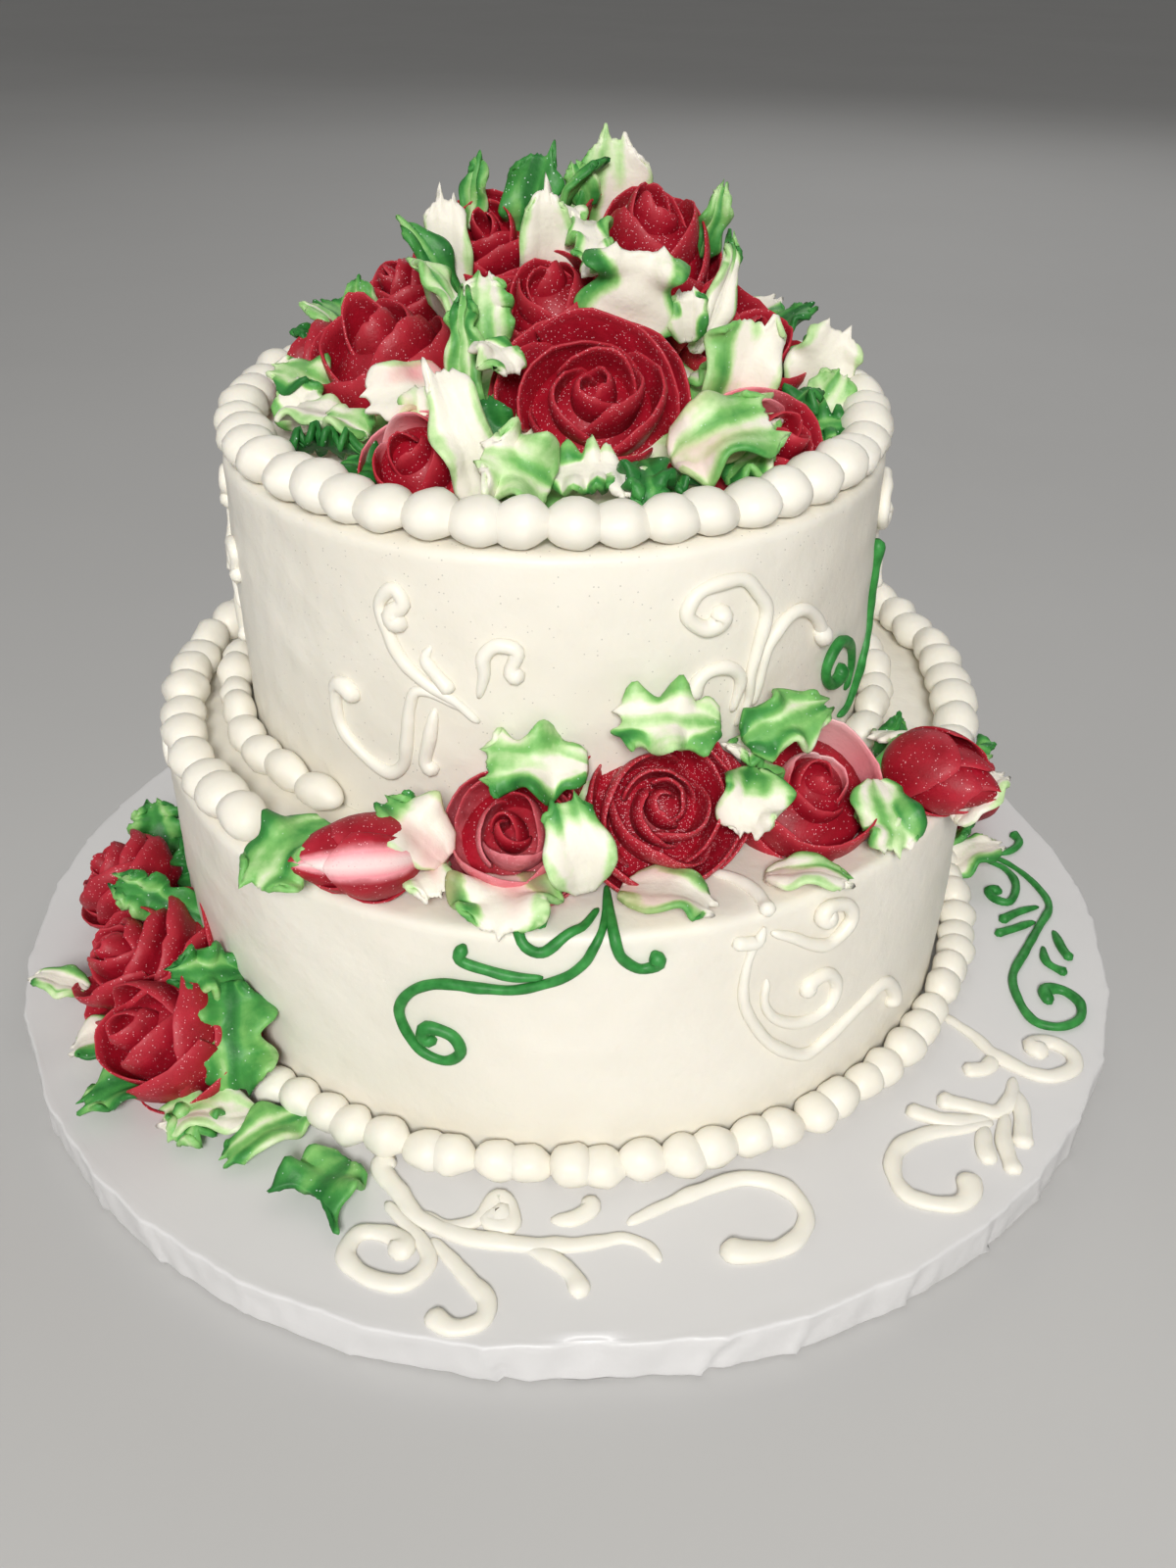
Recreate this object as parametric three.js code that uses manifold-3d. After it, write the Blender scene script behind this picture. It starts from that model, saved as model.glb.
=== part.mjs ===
// A two-tier iced wedding cake on its foil-covered drum, decorated with piped bead borders,
// scrollwork, icing roses and icing leaves. Millimetres, +Z up, origin under the middle of the drum.
// Directions round a tier are degrees: 0 faces the front (-Y), 90 faces right (+X).
import * as THREE from 'three';
import { ConvexGeometry } from 'three/addons/geometries/ConvexGeometry.js';
import { mergeVertices } from 'three/addons/utils/BufferGeometryUtils.js';
import Module from 'manifold-3d';

const wasm = await Module();
wasm.setup();

// Driving dimensions: an 8 inch and a 6 inch cake, iced, on a 12 inch drum
const GAP = 0.3;
const BOARD = { x: 0, y: 0, radius: 152.4, base: 0, top: 12, edge: 1.2, sides: 54 };
const LOWER = { x: 0, y: 4, radius: 106, base: BOARD.top + GAP, top: 78.5, edge: 2.4, sides: 54 };
const UPPER = { x: -4, y: 12, radius: 81.2, base: LOWER.top + GAP, top: 148.5, edge: 2.4, sides: 48 };
const MOUND = { x: -3, y: 17, radius: 58, height: 28, sides: 16 };
const BEAD_POINTS = 4;
const LEAF_THICKNESS = 1.7;
const WHITE_LINE = { width: 3.6, height: 1.9 };
const GREEN_LINE = { width: 2.6, height: 1.7 };
const LINE_SINK = 1.3;
const SLIVER = 0.2;
const WELD = 0.001;
const KEPT_AROUND = 1.6 * GAP;
const SCROLL_TO_BACK = { upper: 152, lower: 150 };

const icing = new THREE.MeshStandardMaterial({ color: 0xf3eee0, roughness: 0.5, metalness: 0 });
const foil = new THREE.MeshStandardMaterial({ color: 0xe6e4e4, roughness: 0.35, metalness: 0 });
const roseRed = new THREE.MeshStandardMaterial({ color: 0xa01024, roughness: 0.55, metalness: 0 });
const leafGreen = new THREE.MeshStandardMaterial({ color: 0x7cc46a, roughness: 0.5, metalness: 0 });

const radians = THREE.MathUtils.degToRad;
const vector = (x, y, z) => new THREE.Vector3(x, y, z);

// The place and outward direction at an angle on a tier's side
function onSide(tier, angle, z) {
  const outward = vector(Math.sin(radians(angle)), -Math.cos(radians(angle)), 0);
  return { point: vector(tier.x, tier.y, z).addScaledVector(outward, tier.radius), outward };
}

// Closed skins and solids

function signedVolume(positions, index) {
  const corner = (k) => vector(...positions.slice(3 * index[k], 3 * index[k] + 3));
  let volume = 0;
  for (let k = 0; k < index.length; k += 3) {
    volume += corner(k).dot(corner(k + 1).cross(corner(k + 2))) / 6;
  }
  return volume;
}

function solidFrom(positions, index) {
  const outward = signedVolume(positions, index) > 0 ? index : index.toReversed();
  return new wasm.Manifold(new wasm.Mesh({
    numProp: 3,
    vertProperties: Float32Array.from(positions),
    triVerts: Uint32Array.from(outward),
  }));
}

// The solid of a three.js geometry, its shared corners merged and its flattened triangles dropped
function solidOf(geometry) {
  for (const name of Object.keys(geometry.attributes)) {
    if (name !== 'position') {
      geometry.deleteAttribute(name);
    }
  }
  const merged = mergeVertices(geometry, WELD);
  const corners = Array.from(merged.index.array);
  const index = [];
  for (let k = 0; k < corners.length; k += 3) {
    const [a, b, c] = corners.slice(k, k + 3);
    if (a !== b && b !== c && c !== a) {
      index.push(a, b, c);
    }
  }
  return solidFrom(Array.from(merged.attributes.position.array), index);
}

function geometryOf(solid) {
  const mesh = solid.getMesh();
  const geometry = new THREE.BufferGeometry();
  geometry.setAttribute('position', new THREE.BufferAttribute(Float32Array.from(mesh.vertProperties), 3));
  geometry.setIndex(Array.from(mesh.triVerts));
  geometry.computeVertexNormals();
  return geometry;
}

// A closed solid over rings of points, each ring joined to the next. Its ends are filled, or joined
// in a loop. The spans in crossed take the other diagonal, so that two faces of a sheet split alike.
function skin(rings, { loop = false, crossed = [] } = {}) {
  const count = rings[0].length;
  const index = [];
  const spans = loop ? rings.length : rings.length - 1;
  for (let ring = 0; ring < spans; ring++) {
    const next = (ring + 1) % rings.length;
    for (let k = 0; k < count; k++) {
      const after = (k + 1) % count;
      const [a, b] = [ring * count + k, ring * count + after];
      const [c, d] = [next * count + after, next * count + k];
      index.push(...(crossed.includes(k) ? [a, b, d, b, c, d] : [a, b, c, a, c, d]));
    }
  }
  if (!loop) {
    const last = (rings.length - 1) * count;
    for (let k = 1; k < count - 1; k++) {
      index.push(0, k + 1, k, last, last + k, last + k + 1);
    }
  }
  return solidFrom(rings.flat().flatMap((point) => point.toArray()), index);
}

// A turned solid: a profile of [radius, height] pairs round the middle of a tier
function turned(profile, { x, y, sides }) {
  const outline = profile.map(([radius, height]) => new THREE.Vector2(radius, height));
  const geometry = new THREE.LatheGeometry(outline, sides);
  geometry.rotateX(Math.PI / 2);
  geometry.translate(x, y, 0);
  return solidOf(geometry);
}

// The disc of a tier or of the drum, its top and bottom edges softened, grown all round by spare
function disc(tier, spare = 0) {
  const { radius, edge } = tier;
  const [low, high, out] = [tier.base - spare, tier.top + spare, radius + spare];
  const soft = edge * 0.3;
  return turned([
    [0, low], [out - edge, low], [out, low + edge], [out, high - edge],
    [out - soft, high - soft], [out - edge, high], [0, high],
  ], tier);
}

// The dome of icing that carries the flowers on the top
function mound(spare = 0) {
  const { radius, height } = MOUND;
  const rise = [[1, -1], [1, 0.03], [0.8, 0.22], [0.5, 0.56], [0.3, 0.84], [0, 1]];
  const profile = rise.map(([r, h]) => [r === 0 ? 0 : r * radius + spare, UPPER.top + h * height + spare]);
  return turned([[0, UPPER.top - height], ...profile], MOUND);
}

// Piped scrollwork: a line through its knots, three-sided, half sunk in what it lies on
function pipedLine(places, { width, height }, spare = 0) {
  const rings = places.map(({ point, outward }, k) => {
    const before = places[Math.max(k - 1, 0)].point;
    const after = places[Math.min(k + 1, places.length - 1)].point;
    const side = after.clone().sub(before).cross(outward).normalize();
    const share = k === 0 || k === places.length - 1 ? 0.6 : 1;
    const half = (width / 2) * share + spare;
    return [
      point.clone().addScaledVector(side, -half).addScaledVector(outward, -LINE_SINK),
      point.clone().addScaledVector(side, half).addScaledVector(outward, -LINE_SINK),
      point.clone().addScaledVector(outward, height * share + spare),
    ];
  });
  return skin(rings);
}

const alongSide = (tier, knots) => knots.map(([angle, z]) => onSide(tier, angle, z));
const onTop = (tier, x, y) => ({ point: vector(x, y, tier.top), outward: vector(0, 0, 1) });
const alongTop = (tier, knots) => knots.map(([x, y]) => onTop(tier, x, y));
const turnedKnots = (knots, by) => knots.map(([angle, z]) => [angle + by, z]);

// The scrolls' knots: [degrees, height] on a tier's side, [x, y] on a top
const UPPER_LEFT_SCROLL = [
  [[-22, 130], [-24, 135], [-22, 139], [-26, 135], [-25, 129], [-22, 121], [-15, 115], [-10, 109]],
  [[-18, 127], [-19, 123], [-15, 116]],
  [[-11, 117], [-10, 126], [-7, 129], [-5, 127], [-6, 122], [-4, 121]],
  [
    [-33, 112], [-34, 114], [-37, 113], [-36, 103], [-32, 96], [-25, 93], [-23, 103], [-21, 116],
    [-13, 113],
  ],
  [[-18, 110], [-19, 103], [-18, 96]],
];
const UPPER_RIGHT_SCROLL = [
  [[26, 133], [22, 131], [20, 135], [24, 140], [29, 140], [34, 132], [32, 116], [29, 104]],
  [[48, 118], [46, 125], [41, 128], [37, 125], [34, 115], [32, 107]],
  [[21, 114], [23, 119], [27, 120], [30, 115], [30, 108]],
];
const UPPER_GREEN_SCROLL = [
  [[73, 128], [74, 118], [74, 106], [70, 96], [63, 90], [58, 89]],
  [[56, 104], [53, 102], [51, 108], [54, 113], [60, 108], [61, 96]],
];
const LOWER_GREEN_SCROLL = [
  [
    [4, 76], [2, 71], [-2, 67], [-7, 63.5], [-15, 63.5], [-19, 58], [-20, 49], [-16, 41], [-13, 44],
    [-15, 49],
  ],
  [[-12, 74], [-12, 70], [-8, 68.5], [-3, 67.5]],
  [[5, 75], [7, 71], [9.5, 71.5]],
];
const LOWER_WHITE_SCROLL = [
  [[24, 73], [28, 68], [34, 64], [37, 68], [34, 74.5], [31, 73]],
  [[22, 73], [21, 61], [22, 49], [26, 38], [32, 32], [38, 37], [46, 40.5], [48, 31]],
  [[24, 61], [25, 49], [30, 43], [35, 46], [34, 54], [31, 52]],
  [[22, 74], [19, 72.5]],
];
const LEDGE_GREEN_LINES = [
  [[8, -86], [7, -101.2]],
  [[7, -92], [-1, -99.5], [-6, -96]],
];
const LEDGE_WHITE_LINE = [[33, -82], [39, -85], [41, -93]];
const BOARD_FRONT_SCROLL = [
  [[-43, -104], [-38, -112], [-29, -121], [-16, -125], [1, -126], [12, -124], [20, -130]],
  [[-30, -119.5], [-19, -121], [-13, -117], [-17, -113]],
  [[-31, -124], [-33, -135], [-41, -135], [-47, -129], [-46, -123], [-40, -123], [-38, -129]],
  [[-28, -124], [-21, -136], [-18, -142], [-23, -146.5], [-28, -143]],
  [[-9, -127.5], [-1, -132], [3, -138]],
  [[4, -114], [3, -119], [-4, -119]],
  [[22, -114], [35, -108], [47, -109], [53, -117], [47, -127], [34, -127]],
];
const BOARD_RIGHT_SCROLL = [
  [[101, -56], [108, -67], [116, -74], [126, -74], [129, -67], [121, -63]],
  [[107, -69], [104, -73], [98, -73]],
  [[111, -76], [107, -83], [90, -83]],
  [[101, -88.5], [82, -86.5]],
  [[102, -92], [85, -94], [76, -102], [77, -111], [87, -115], [92, -107]],
  [[111, -79], [107, -98]],
  [[105, -88], [103, -106]],
];
const BOARD_GREEN_SCROLL = [
  [
    [124, 18], [135, 13], [140, -2], [134, -16], [124, -31], [120, -45], [124, -56], [133, -54],
    [134, -45], [129, -43],
  ],
  [[130, 19], [138, 23], [139, 30]],
  [[129, 13], [133, 5], [129, -4], [124, 2]],
  [[136, -7], [124, -13]],
  [[132, -14.5], [121, -19]],
  [[135, -18], [138, -29]],
  [[131, -24], [135, -36]],
];

const whiteLines = (places) => places.map((line) => [line, WHITE_LINE]);
const greenLines = (places) => places.map((line) => [line, GREEN_LINE]);
const upperBack = UPPER_RIGHT_SCROLL.map((knots) => turnedKnots(knots, SCROLL_TO_BACK.upper));
const lowerBack = LOWER_WHITE_SCROLL.slice(0, 3).map((knots) => turnedKnots(knots, SCROLL_TO_BACK.lower));
const lines = {
  upper: [
    ...whiteLines(UPPER_LEFT_SCROLL.map((knots) => alongSide(UPPER, knots))),
    ...whiteLines(UPPER_RIGHT_SCROLL.map((knots) => alongSide(UPPER, knots))),
    ...greenLines(UPPER_GREEN_SCROLL.map((knots) => alongSide(UPPER, knots))),
    ...whiteLines(upperBack.map((knots) => alongSide(UPPER, knots))),
  ],
  lower: [
    ...greenLines(LOWER_GREEN_SCROLL.map((knots) => alongSide(LOWER, knots))),
    ...whiteLines(LOWER_WHITE_SCROLL.map((knots) => alongSide(LOWER, knots))),
    ...greenLines(LEDGE_GREEN_LINES.map((knots) => alongTop(LOWER, knots))),
    [alongTop(LOWER, LEDGE_WHITE_LINE), WHITE_LINE],
    ...whiteLines(lowerBack.map((knots) => alongSide(LOWER, knots))),
  ],
  board: [
    ...whiteLines(BOARD_FRONT_SCROLL.map((knots) => alongTop(BOARD, knots))),
    ...whiteLines(BOARD_RIGHT_SCROLL.map((knots) => alongTop(BOARD, knots))),
    ...greenLines(BOARD_GREEN_SCROLL.map((knots) => alongTop(BOARD, knots))),
  ],
};

// Pieces are placed in order. Each is cut back from those placed before it, so none cross.
const kept = [];

function keepClear(solid) {
  kept.push({ solid, box: solid.boundingBox() });
}

function boxesMeet(a, b) {
  return [0, 1, 2].every((axis) => a.min[axis] < b.max[axis] && b.min[axis] < a.max[axis]);
}

function largestBody(solid) {
  return solid.decompose().reduce((best, body) => (body.volume() > best.volume() ? body : best));
}

function clearOfKept(solid) {
  let left = solid;
  for (const { solid: other, box } of kept) {
    if (boxesMeet(left.boundingBox(), box)) {
      left = left.subtract(other);
    }
  }
  return largestBody(left).simplify(SLIVER);
}

// The convex space that a placed piece keeps to itself, a gap wider than the piece
function spaceRound(solid) {
  const { vertProperties } = solid.getMesh();
  const points = [];
  for (let k = 0; k < vertProperties.length; k += 3) {
    points.push(vector(...vertProperties.slice(k, k + 3)));
  }
  const total = points.reduce((sum, point) => sum.add(point), vector(0, 0, 0));
  const middle = total.divideScalar(points.length);
  const grown = points.map((point) => {
    const away = point.clone().sub(middle);
    return point.clone().addScaledVector(away.normalize(), KEPT_AROUND);
  });
  return solidOf(new ConvexGeometry(grown));
}

const cake = new THREE.Group();

function addMesh(name, solid, material) {
  const mesh = new THREE.Mesh(geometryOf(solid), material);
  mesh.name = name;
  cake.add(mesh);
}

// The drum and the two tiers, each with the scrolls piped on it
function addBody(name, body, ownLines, material) {
  const piped = ownLines.map(([places, size]) => pipedLine(places, size));
  addMesh(name, piped.reduce((sum, line) => sum.add(line), body).simplify(SLIVER), material);
}

addBody('board', disc(BOARD), lines.board, foil);
addBody('lower_tier', disc(LOWER), lines.lower, icing);
addBody('upper_tier', disc(UPPER).add(mound()), lines.upper, icing);
[BOARD, LOWER, UPPER].forEach((tier) => keepClear(disc(tier, GAP)));
keepClear(mound(GAP));
Object.values(lines).flat().forEach(([places, size]) => keepClear(pipedLine(places, size, GAP)));

// A piped border: beads side by side round a tier, each a narrow neck and a round belly. It stands
// against the tier's side, or inside its rim. Beads are smaller at the back, where the ledge is narrow.
const BORDER_OVERHANG = 0.8;
const BORDER_STANDOFF = 0.6;
const BACK_SQUEEZE = 0.32;
const NECK_SHARE = 0.62;
const BEAD_VARIATION = { share: 0.06, step: 2.4 };
const BEAD_CENTRE = 0.52;
const BEAD_STEPS = [0, 0.28, 0.72];

function beadBorder({ tier, place, floor, from, to, beads, width, height }, spare = 0) {
  const loop = to - from === 360;
  const rings = [];
  for (let k = 0; k < 3 * beads + (loop ? 0 : 1); k++) {
    const bead = Math.floor(k / 3);
    const angle = radians(from + ((to - from) * (bead + BEAD_STEPS[k % 3])) / beads);
    const outward = vector(Math.sin(angle), -Math.cos(angle), 0);
    const squeeze = 1 - BACK_SQUEEZE * Math.max(0, -Math.cos(angle));
    const across = (width / 2) * squeeze;
    const offset = place === 'rim' ? BORDER_OVERHANG - across : BORDER_STANDOFF + across;
    const belly = 1 + BEAD_VARIATION.share * Math.sin(BEAD_VARIATION.step * bead);
    const fullness = k % 3 === 0 ? NECK_SHARE : belly;
    const middle = vector(tier.x, tier.y, floor + BEAD_CENTRE * height * fullness);
    middle.addScaledVector(outward, tier.radius + offset);
    const ring = [];
    for (let corner = 0; corner < BEAD_POINTS; corner++) {
      const turn = radians(90 + (360 * corner) / BEAD_POINTS);
      const out = across * fullness * Math.cos(turn) + spare * Math.sign(Math.cos(turn));
      const up = (height / 2) * fullness * Math.sin(turn) + spare * Math.sign(Math.sin(turn));
      ring.push(middle.clone().addScaledVector(outward, out).add(vector(0, 0, up)));
    }
    rings.push(ring);
  }
  return skin(rings, { loop });
}

const UPPER_RIM = { place: 'rim', tier: UPPER, floor: UPPER.top + GAP, width: 12, height: 9.4 };
const UPPER_FOOT = { place: 'foot', tier: UPPER, floor: LOWER.top + GAP, width: 8.4, height: 8.6 };
const LOWER_RIM = { place: 'rim', tier: LOWER, floor: LOWER.top + GAP, width: 11, height: 9.4 };
const LOWER_FOOT = { place: 'foot', tier: LOWER, floor: BOARD.top + GAP, width: 10, height: 8.6 };
const borders = {
  upper_top_border: { ...UPPER_RIM, from: 0, to: 360, beads: 48 },
  upper_base_border: { ...UPPER_FOOT, from: 62, to: 324, beads: 36 },
  lower_top_border: { ...LOWER_RIM, from: 66, to: 316, beads: 42 },
  lower_base_border_front: { ...LOWER_FOOT, from: -42, to: 96, beads: 31 },
  lower_base_border_back: { ...LOWER_FOOT, from: 148, to: 256, beads: 24 },
};
for (const [name, border] of Object.entries(borders)) {
  addMesh(name, clearOfKept(beadBorder(border)), icing);
  keepClear(beadBorder(border, GAP));
}

// Roses: rings of petals from the foot, out over the belly to the rim, and in over the inner rims.
// Each ring is [radius, height along the facing direction, ruffle], in shares of the rose's width.
const OPEN_ROSE = {
  petals: 5,
  rings: [
    [0.2, -0.72, 0], [0.43, -0.34, 0.02], [0.5, 0, 0.035], [0.39, -0.09, 0.02],
    [0.31, 0.05, 0.035], [0.19, -0.04, 0.015], [0.1, 0.09, 0.02],
  ],
};
const CUPPED_ROSE = {
  petals: 4,
  rings: [
    [0.2, -0.8, 0], [0.46, -0.38, 0.015], [0.49, 0.02, 0.03], [0.41, -0.03, 0.025],
    [0.33, -0.22, 0.01], [0.2, 0.02, 0.03], [0.08, 0.1, 0.02],
  ],
};
const BUD = {
  petals: 3,
  rings: [[0.2, -1.1, 0], [0.43, -0.8, 0.05], [0.5, -0.4, 0.06], [0.36, 0.1, 0.07], [0.12, 0.45, 0]],
};
const PETAL_SHIFT = 0.9;
const PETAL_LIFT = 0.6;
const LARGE_ROSE = 30;

// Where a piece stands, which way it faces, and how wide it is, in millimetres and degrees
const ROSES = {
  rose_front: [OPEN_ROSE, [5, -27, 170], [2, 46], 42],
  rose_crown: [CUPPED_ROSE, [19, 39, 192], [14, 66], 35],
  rose_crown_left: [CUPPED_ROSE, [-22, 42, 190], [-12, 58], 26],
  rose_middle: [CUPPED_ROSE, [-6, 11, 182], [-30, 62], 24],
  rose_left: [CUPPED_ROSE, [-47, 14, 167], [-50, 66], 37],
  rose_left_back: [CUPPED_ROSE, [-49, 58, 173], [-62, 50], 25],
  rose_far_left: [CUPPED_ROSE, [-70, 31, 160], [-98, 26], 18],
  rose_right: [OPEN_ROSE, [46, 28, 167], [60, 60], 33],
  rose_low_left: [CUPPED_ROSE, [-33, -36, 158], [-20, 44], 24],
  rose_low_right: [CUPPED_ROSE, [45, -23, 157], [52, 44], 24],
  rose_back_right: [OPEN_ROSE, [28, 66, 170], [148, 44], 30],
  rose_back_left: [OPEN_ROSE, [-14, 73, 169], [-168, 42], 30],
  bud_ledge_left: [BUD, [-52, -88, 88], [-78, 2], 17],
  rose_ledge_left: [OPEN_ROSE, [-13, -85, 94], [-12, 50], 28],
  rose_ledge_middle: [OPEN_ROSE, [21, -82, 99], [14, 44], 37],
  rose_ledge_right: [CUPPED_ROSE, [56, -65, 94], [22, 50], 30],
  bud_ledge_right: [BUD, [92, -58, 88], [48, 4], 18],
  rose_board_left_front: [CUPPED_ROSE, [-102, -78, 30], [-50, 40], 33],
  rose_board_left: [OPEN_ROSE, [-117, -52, 35], [-78, 46], 39],
  rose_board_left_back: [CUPPED_ROSE, [-129, -15, 33], [-92, 44], 27],
  rose_board_right: [CUPPED_ROSE, [125, 40, 34], [104, 44], 29],
  rose_board_right_back: [OPEN_ROSE, [112, 76, 30], [124, 46], 31],
};

function facing([angle, rise]) {
  const [turn, lift] = [radians(angle), radians(rise)];
  return vector(Math.cos(lift) * Math.sin(turn), -Math.cos(lift) * Math.cos(turn), Math.sin(lift));
}

function rose([kind, place, direction, width]) {
  const turn = new THREE.Quaternion().setFromUnitVectors(vector(0, 0, 1), facing(direction));
  const samples = kind.petals * (width > LARGE_ROSE || kind === BUD ? 3 : 2);
  const rings = kind.rings.map(([radius, height, ruffle], ring) => {
    const points = [];
    for (let k = 0; k < samples; k++) {
      const angle = (2 * Math.PI * k) / samples;
      const wave = ruffle * Math.cos(kind.petals * angle + PETAL_SHIFT * ring);
      const reach = (radius + wave) * width;
      const rise = (height + PETAL_LIFT * wave) * width;
      const point = vector(reach * Math.cos(angle), reach * Math.sin(angle), rise);
      points.push(point.applyQuaternion(turn).add(vector(...place)));
    }
    return points;
  });
  return skin(rings);
}

function addCut(name, solid, material) {
  const cut = clearOfKept(solid);
  addMesh(name, cut, material);
  keepClear(spaceRound(cut));
}

Object.entries(ROSES).forEach(([name, setting]) => addCut(name, rose(setting), roseRed));

// Leaves: thin wavy sheets from foot to tip. Each is foot, tip, width, and roll about its length.
const LEAVES = {
  leaf_crown_back: [[8, 56, 178], [10, 50, 212.5], 18, 10],
  leaf_crown_left: [[-12, 54, 174], [-7, 46, 209], 15, -20],
  leaf_crown_middle: [[-7, 27, 176], [-7, 19, 205], 12, 12],
  leaf_left_tall: [[-31, 38, 168], [-31, 36, 200], 11, 0],
  leaf_left_twisted: [[-29, 30, 174], [-43, 30, 194], 8, 40],
  leaf_left_ribbon: [[-22, -14, 158], [-24, -6, 187], 12, -15],
  leaf_above_front: [[12, 3, 172], [15, 2, 195], 22, 0],
  leaf_right_twisted: [[29, 10, 168], [40, 26, 194], 7, 30],
  leaf_right_broad: [[35, -7, 156], [41, -6, 182], 21, 10],
  leaf_right_edge: [[58, 24, 152], [67, 24, 171], 16, 0],
  leaf_low_right: [[22, -40, 160], [43, -36, 163], 19, 45],
  leaf_low_left: [[-19, -46, 151], [-27, -37, 179], 14, 25],
  leaf_pink_left: [[-28, -16, 161], [-47, -29, 158], 17, -35],
  leaf_far_left: [[-58, 8, 155], [-73, 8, 163], 15, -15],
  leaf_front_ruffled: [[-5, -50, 156], [-20, -49, 163], 18, -45],
  leaf_ledge_far_left: [[-53, -75, 88], [-67, -92, 81], 19, 0],
  leaf_ledge_bud: [[-27, -86, 87], [-41, -78, 97], 16, -20],
  leaf_ledge_behind_left: [[2, -75, 105], [-20, -74, 106], 13, -50],
  leaf_ledge_left_middle: [[3, -88, 84], [-2, -82, 103], 18, 15],
  leaf_ledge_front_left: [[-13, -88, 83], [-15, -105, 80.5], 22, 0],
  leaf_ledge_behind_middle: [[30, -71, 115], [10, -72, 116], 12, -50],
  leaf_ledge_behind_right: [[39, -66, 105], [57, -56, 109], 12, 50],
  leaf_ledge_right_middle: [[40, -69, 99], [39, -81, 91], 16, 0],
  leaf_ledge_front_middle: [[11, -91, 82], [31, -96, 81], 15, 0],
  leaf_ledge_right: [[69, -60, 90], [73, -76, 80.5], 14, 0],
  leaf_board_left_upper: [[-81, -64, 36], [-97, -72, 42], 12, -40],
  leaf_board_left_wall: [[-81, -70, 38], [-79, -87, 16], 17, 0],
  leaf_board_left_front: [[-75, -91, 15], [-98, -92, 14.4], 13, 0],
  leaf_board_front_left: [[-63, -90, 13.8], [-80, -105, 13.6], 12, 0],
  leaf_board_front: [[-52, -106, 13.8], [-60, -121, 13.6], 18, 0],
};
const LEAF_ROWS = [
  { along: 0, width: 0.4, edge: 0 },
  { along: 0.3, width: 0.95, edge: 0.12 },
  { along: 0.55, width: 0.8, edge: -0.06 },
  { along: 0.78, width: 0.72, edge: 0.12 },
  { along: 1, width: 0.1, edge: 0 },
];
const LEAF_UNDERSIDE_SPANS = [3, 4];
const LEAF_BOW = 0.08;
const STEEP = 0.8;

function leaf([foot, tip, width, roll]) {
  const start = vector(...foot);
  const run = vector(...tip).sub(start);
  const along = run.clone().normalize();
  const steep = Math.abs(along.z) > STEEP;
  const side = along.clone().cross(steep ? vector(0, 1, 0) : vector(0, 0, 1)).normalize();
  side.applyAxisAngle(along, radians(roll));
  const face = side.clone().cross(along);
  const rings = LEAF_ROWS.map((row) => {
    const bow = LEAF_BOW * run.length() * Math.sin(Math.PI * row.along);
    const middle = start.clone().addScaledVector(run, row.along).addScaledVector(face, bow);
    const place = (across, up) => middle.clone()
      .addScaledVector(side, across * row.width * width / 2)
      .addScaledVector(face, up + row.edge * width * Math.abs(across));
    const half = LEAF_THICKNESS / 2;
    const over = [-1, 0, 1].map((across) => place(across, half));
    const under = [1, 0, -1].map((across) => place(across, -half));
    return [...over, ...under];
  });
  return skin(rings, { crossed: LEAF_UNDERSIDE_SPANS });
}

Object.entries(LEAVES).forEach(([name, setting]) => addCut(name, leaf(setting), leafGreen));

export default cake;
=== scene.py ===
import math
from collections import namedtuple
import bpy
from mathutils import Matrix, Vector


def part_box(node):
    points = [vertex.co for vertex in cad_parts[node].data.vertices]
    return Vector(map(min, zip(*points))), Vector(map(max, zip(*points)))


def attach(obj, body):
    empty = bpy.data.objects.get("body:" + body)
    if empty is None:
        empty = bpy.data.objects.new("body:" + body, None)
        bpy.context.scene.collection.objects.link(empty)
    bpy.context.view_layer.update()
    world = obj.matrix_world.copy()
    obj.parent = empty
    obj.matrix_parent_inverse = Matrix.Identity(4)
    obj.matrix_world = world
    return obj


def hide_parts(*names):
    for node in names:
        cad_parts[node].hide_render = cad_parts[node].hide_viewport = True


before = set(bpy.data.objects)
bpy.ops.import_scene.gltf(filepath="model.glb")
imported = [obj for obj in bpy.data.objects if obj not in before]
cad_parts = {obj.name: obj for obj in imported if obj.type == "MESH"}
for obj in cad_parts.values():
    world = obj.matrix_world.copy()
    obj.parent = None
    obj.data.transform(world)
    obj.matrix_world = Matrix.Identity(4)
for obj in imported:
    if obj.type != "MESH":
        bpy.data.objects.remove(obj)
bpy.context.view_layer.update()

# A two-tier iced wedding cake on its foil-covered drum, with piped borders, scrollwork, icing roses
# and icing leaves. Places are in millimetres, as in the part's own source, and become metres when a
# piece is made. Directions round a tier are degrees: 0 faces the front (-Y), 90 faces right (+X).
from types import SimpleNamespace

import bmesh
import bpy
import numpy as np
from mathutils import Matrix

MM = 0.001
UP = np.array([0, 0, 1.0])
BORDER_LIFT = 0.42


def foot_of(border):
    """The height of the lowest point of a piped border's solid, in millimetres"""
    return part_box(border)[0].z / MM


def surface_under(border):
    """The height of what a border is piped on: its solid starts a hair above that"""
    return foot_of(border) - BORDER_LIFT


DRUM = SimpleNamespace(x=0, y=0, radius=152.4, base=0, top=surface_under("lower_base_border_front"))
LOWER = SimpleNamespace(x=0, y=4, radius=106, base=DRUM.top - 1, top=surface_under("lower_top_border"))
UPPER = SimpleNamespace(x=-4, y=12, radius=81.2, base=LOWER.top - 1, top=surface_under("upper_top_border"))
MOUND = SimpleNamespace(x=-3, y=17, radius=58, height=27)

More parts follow.
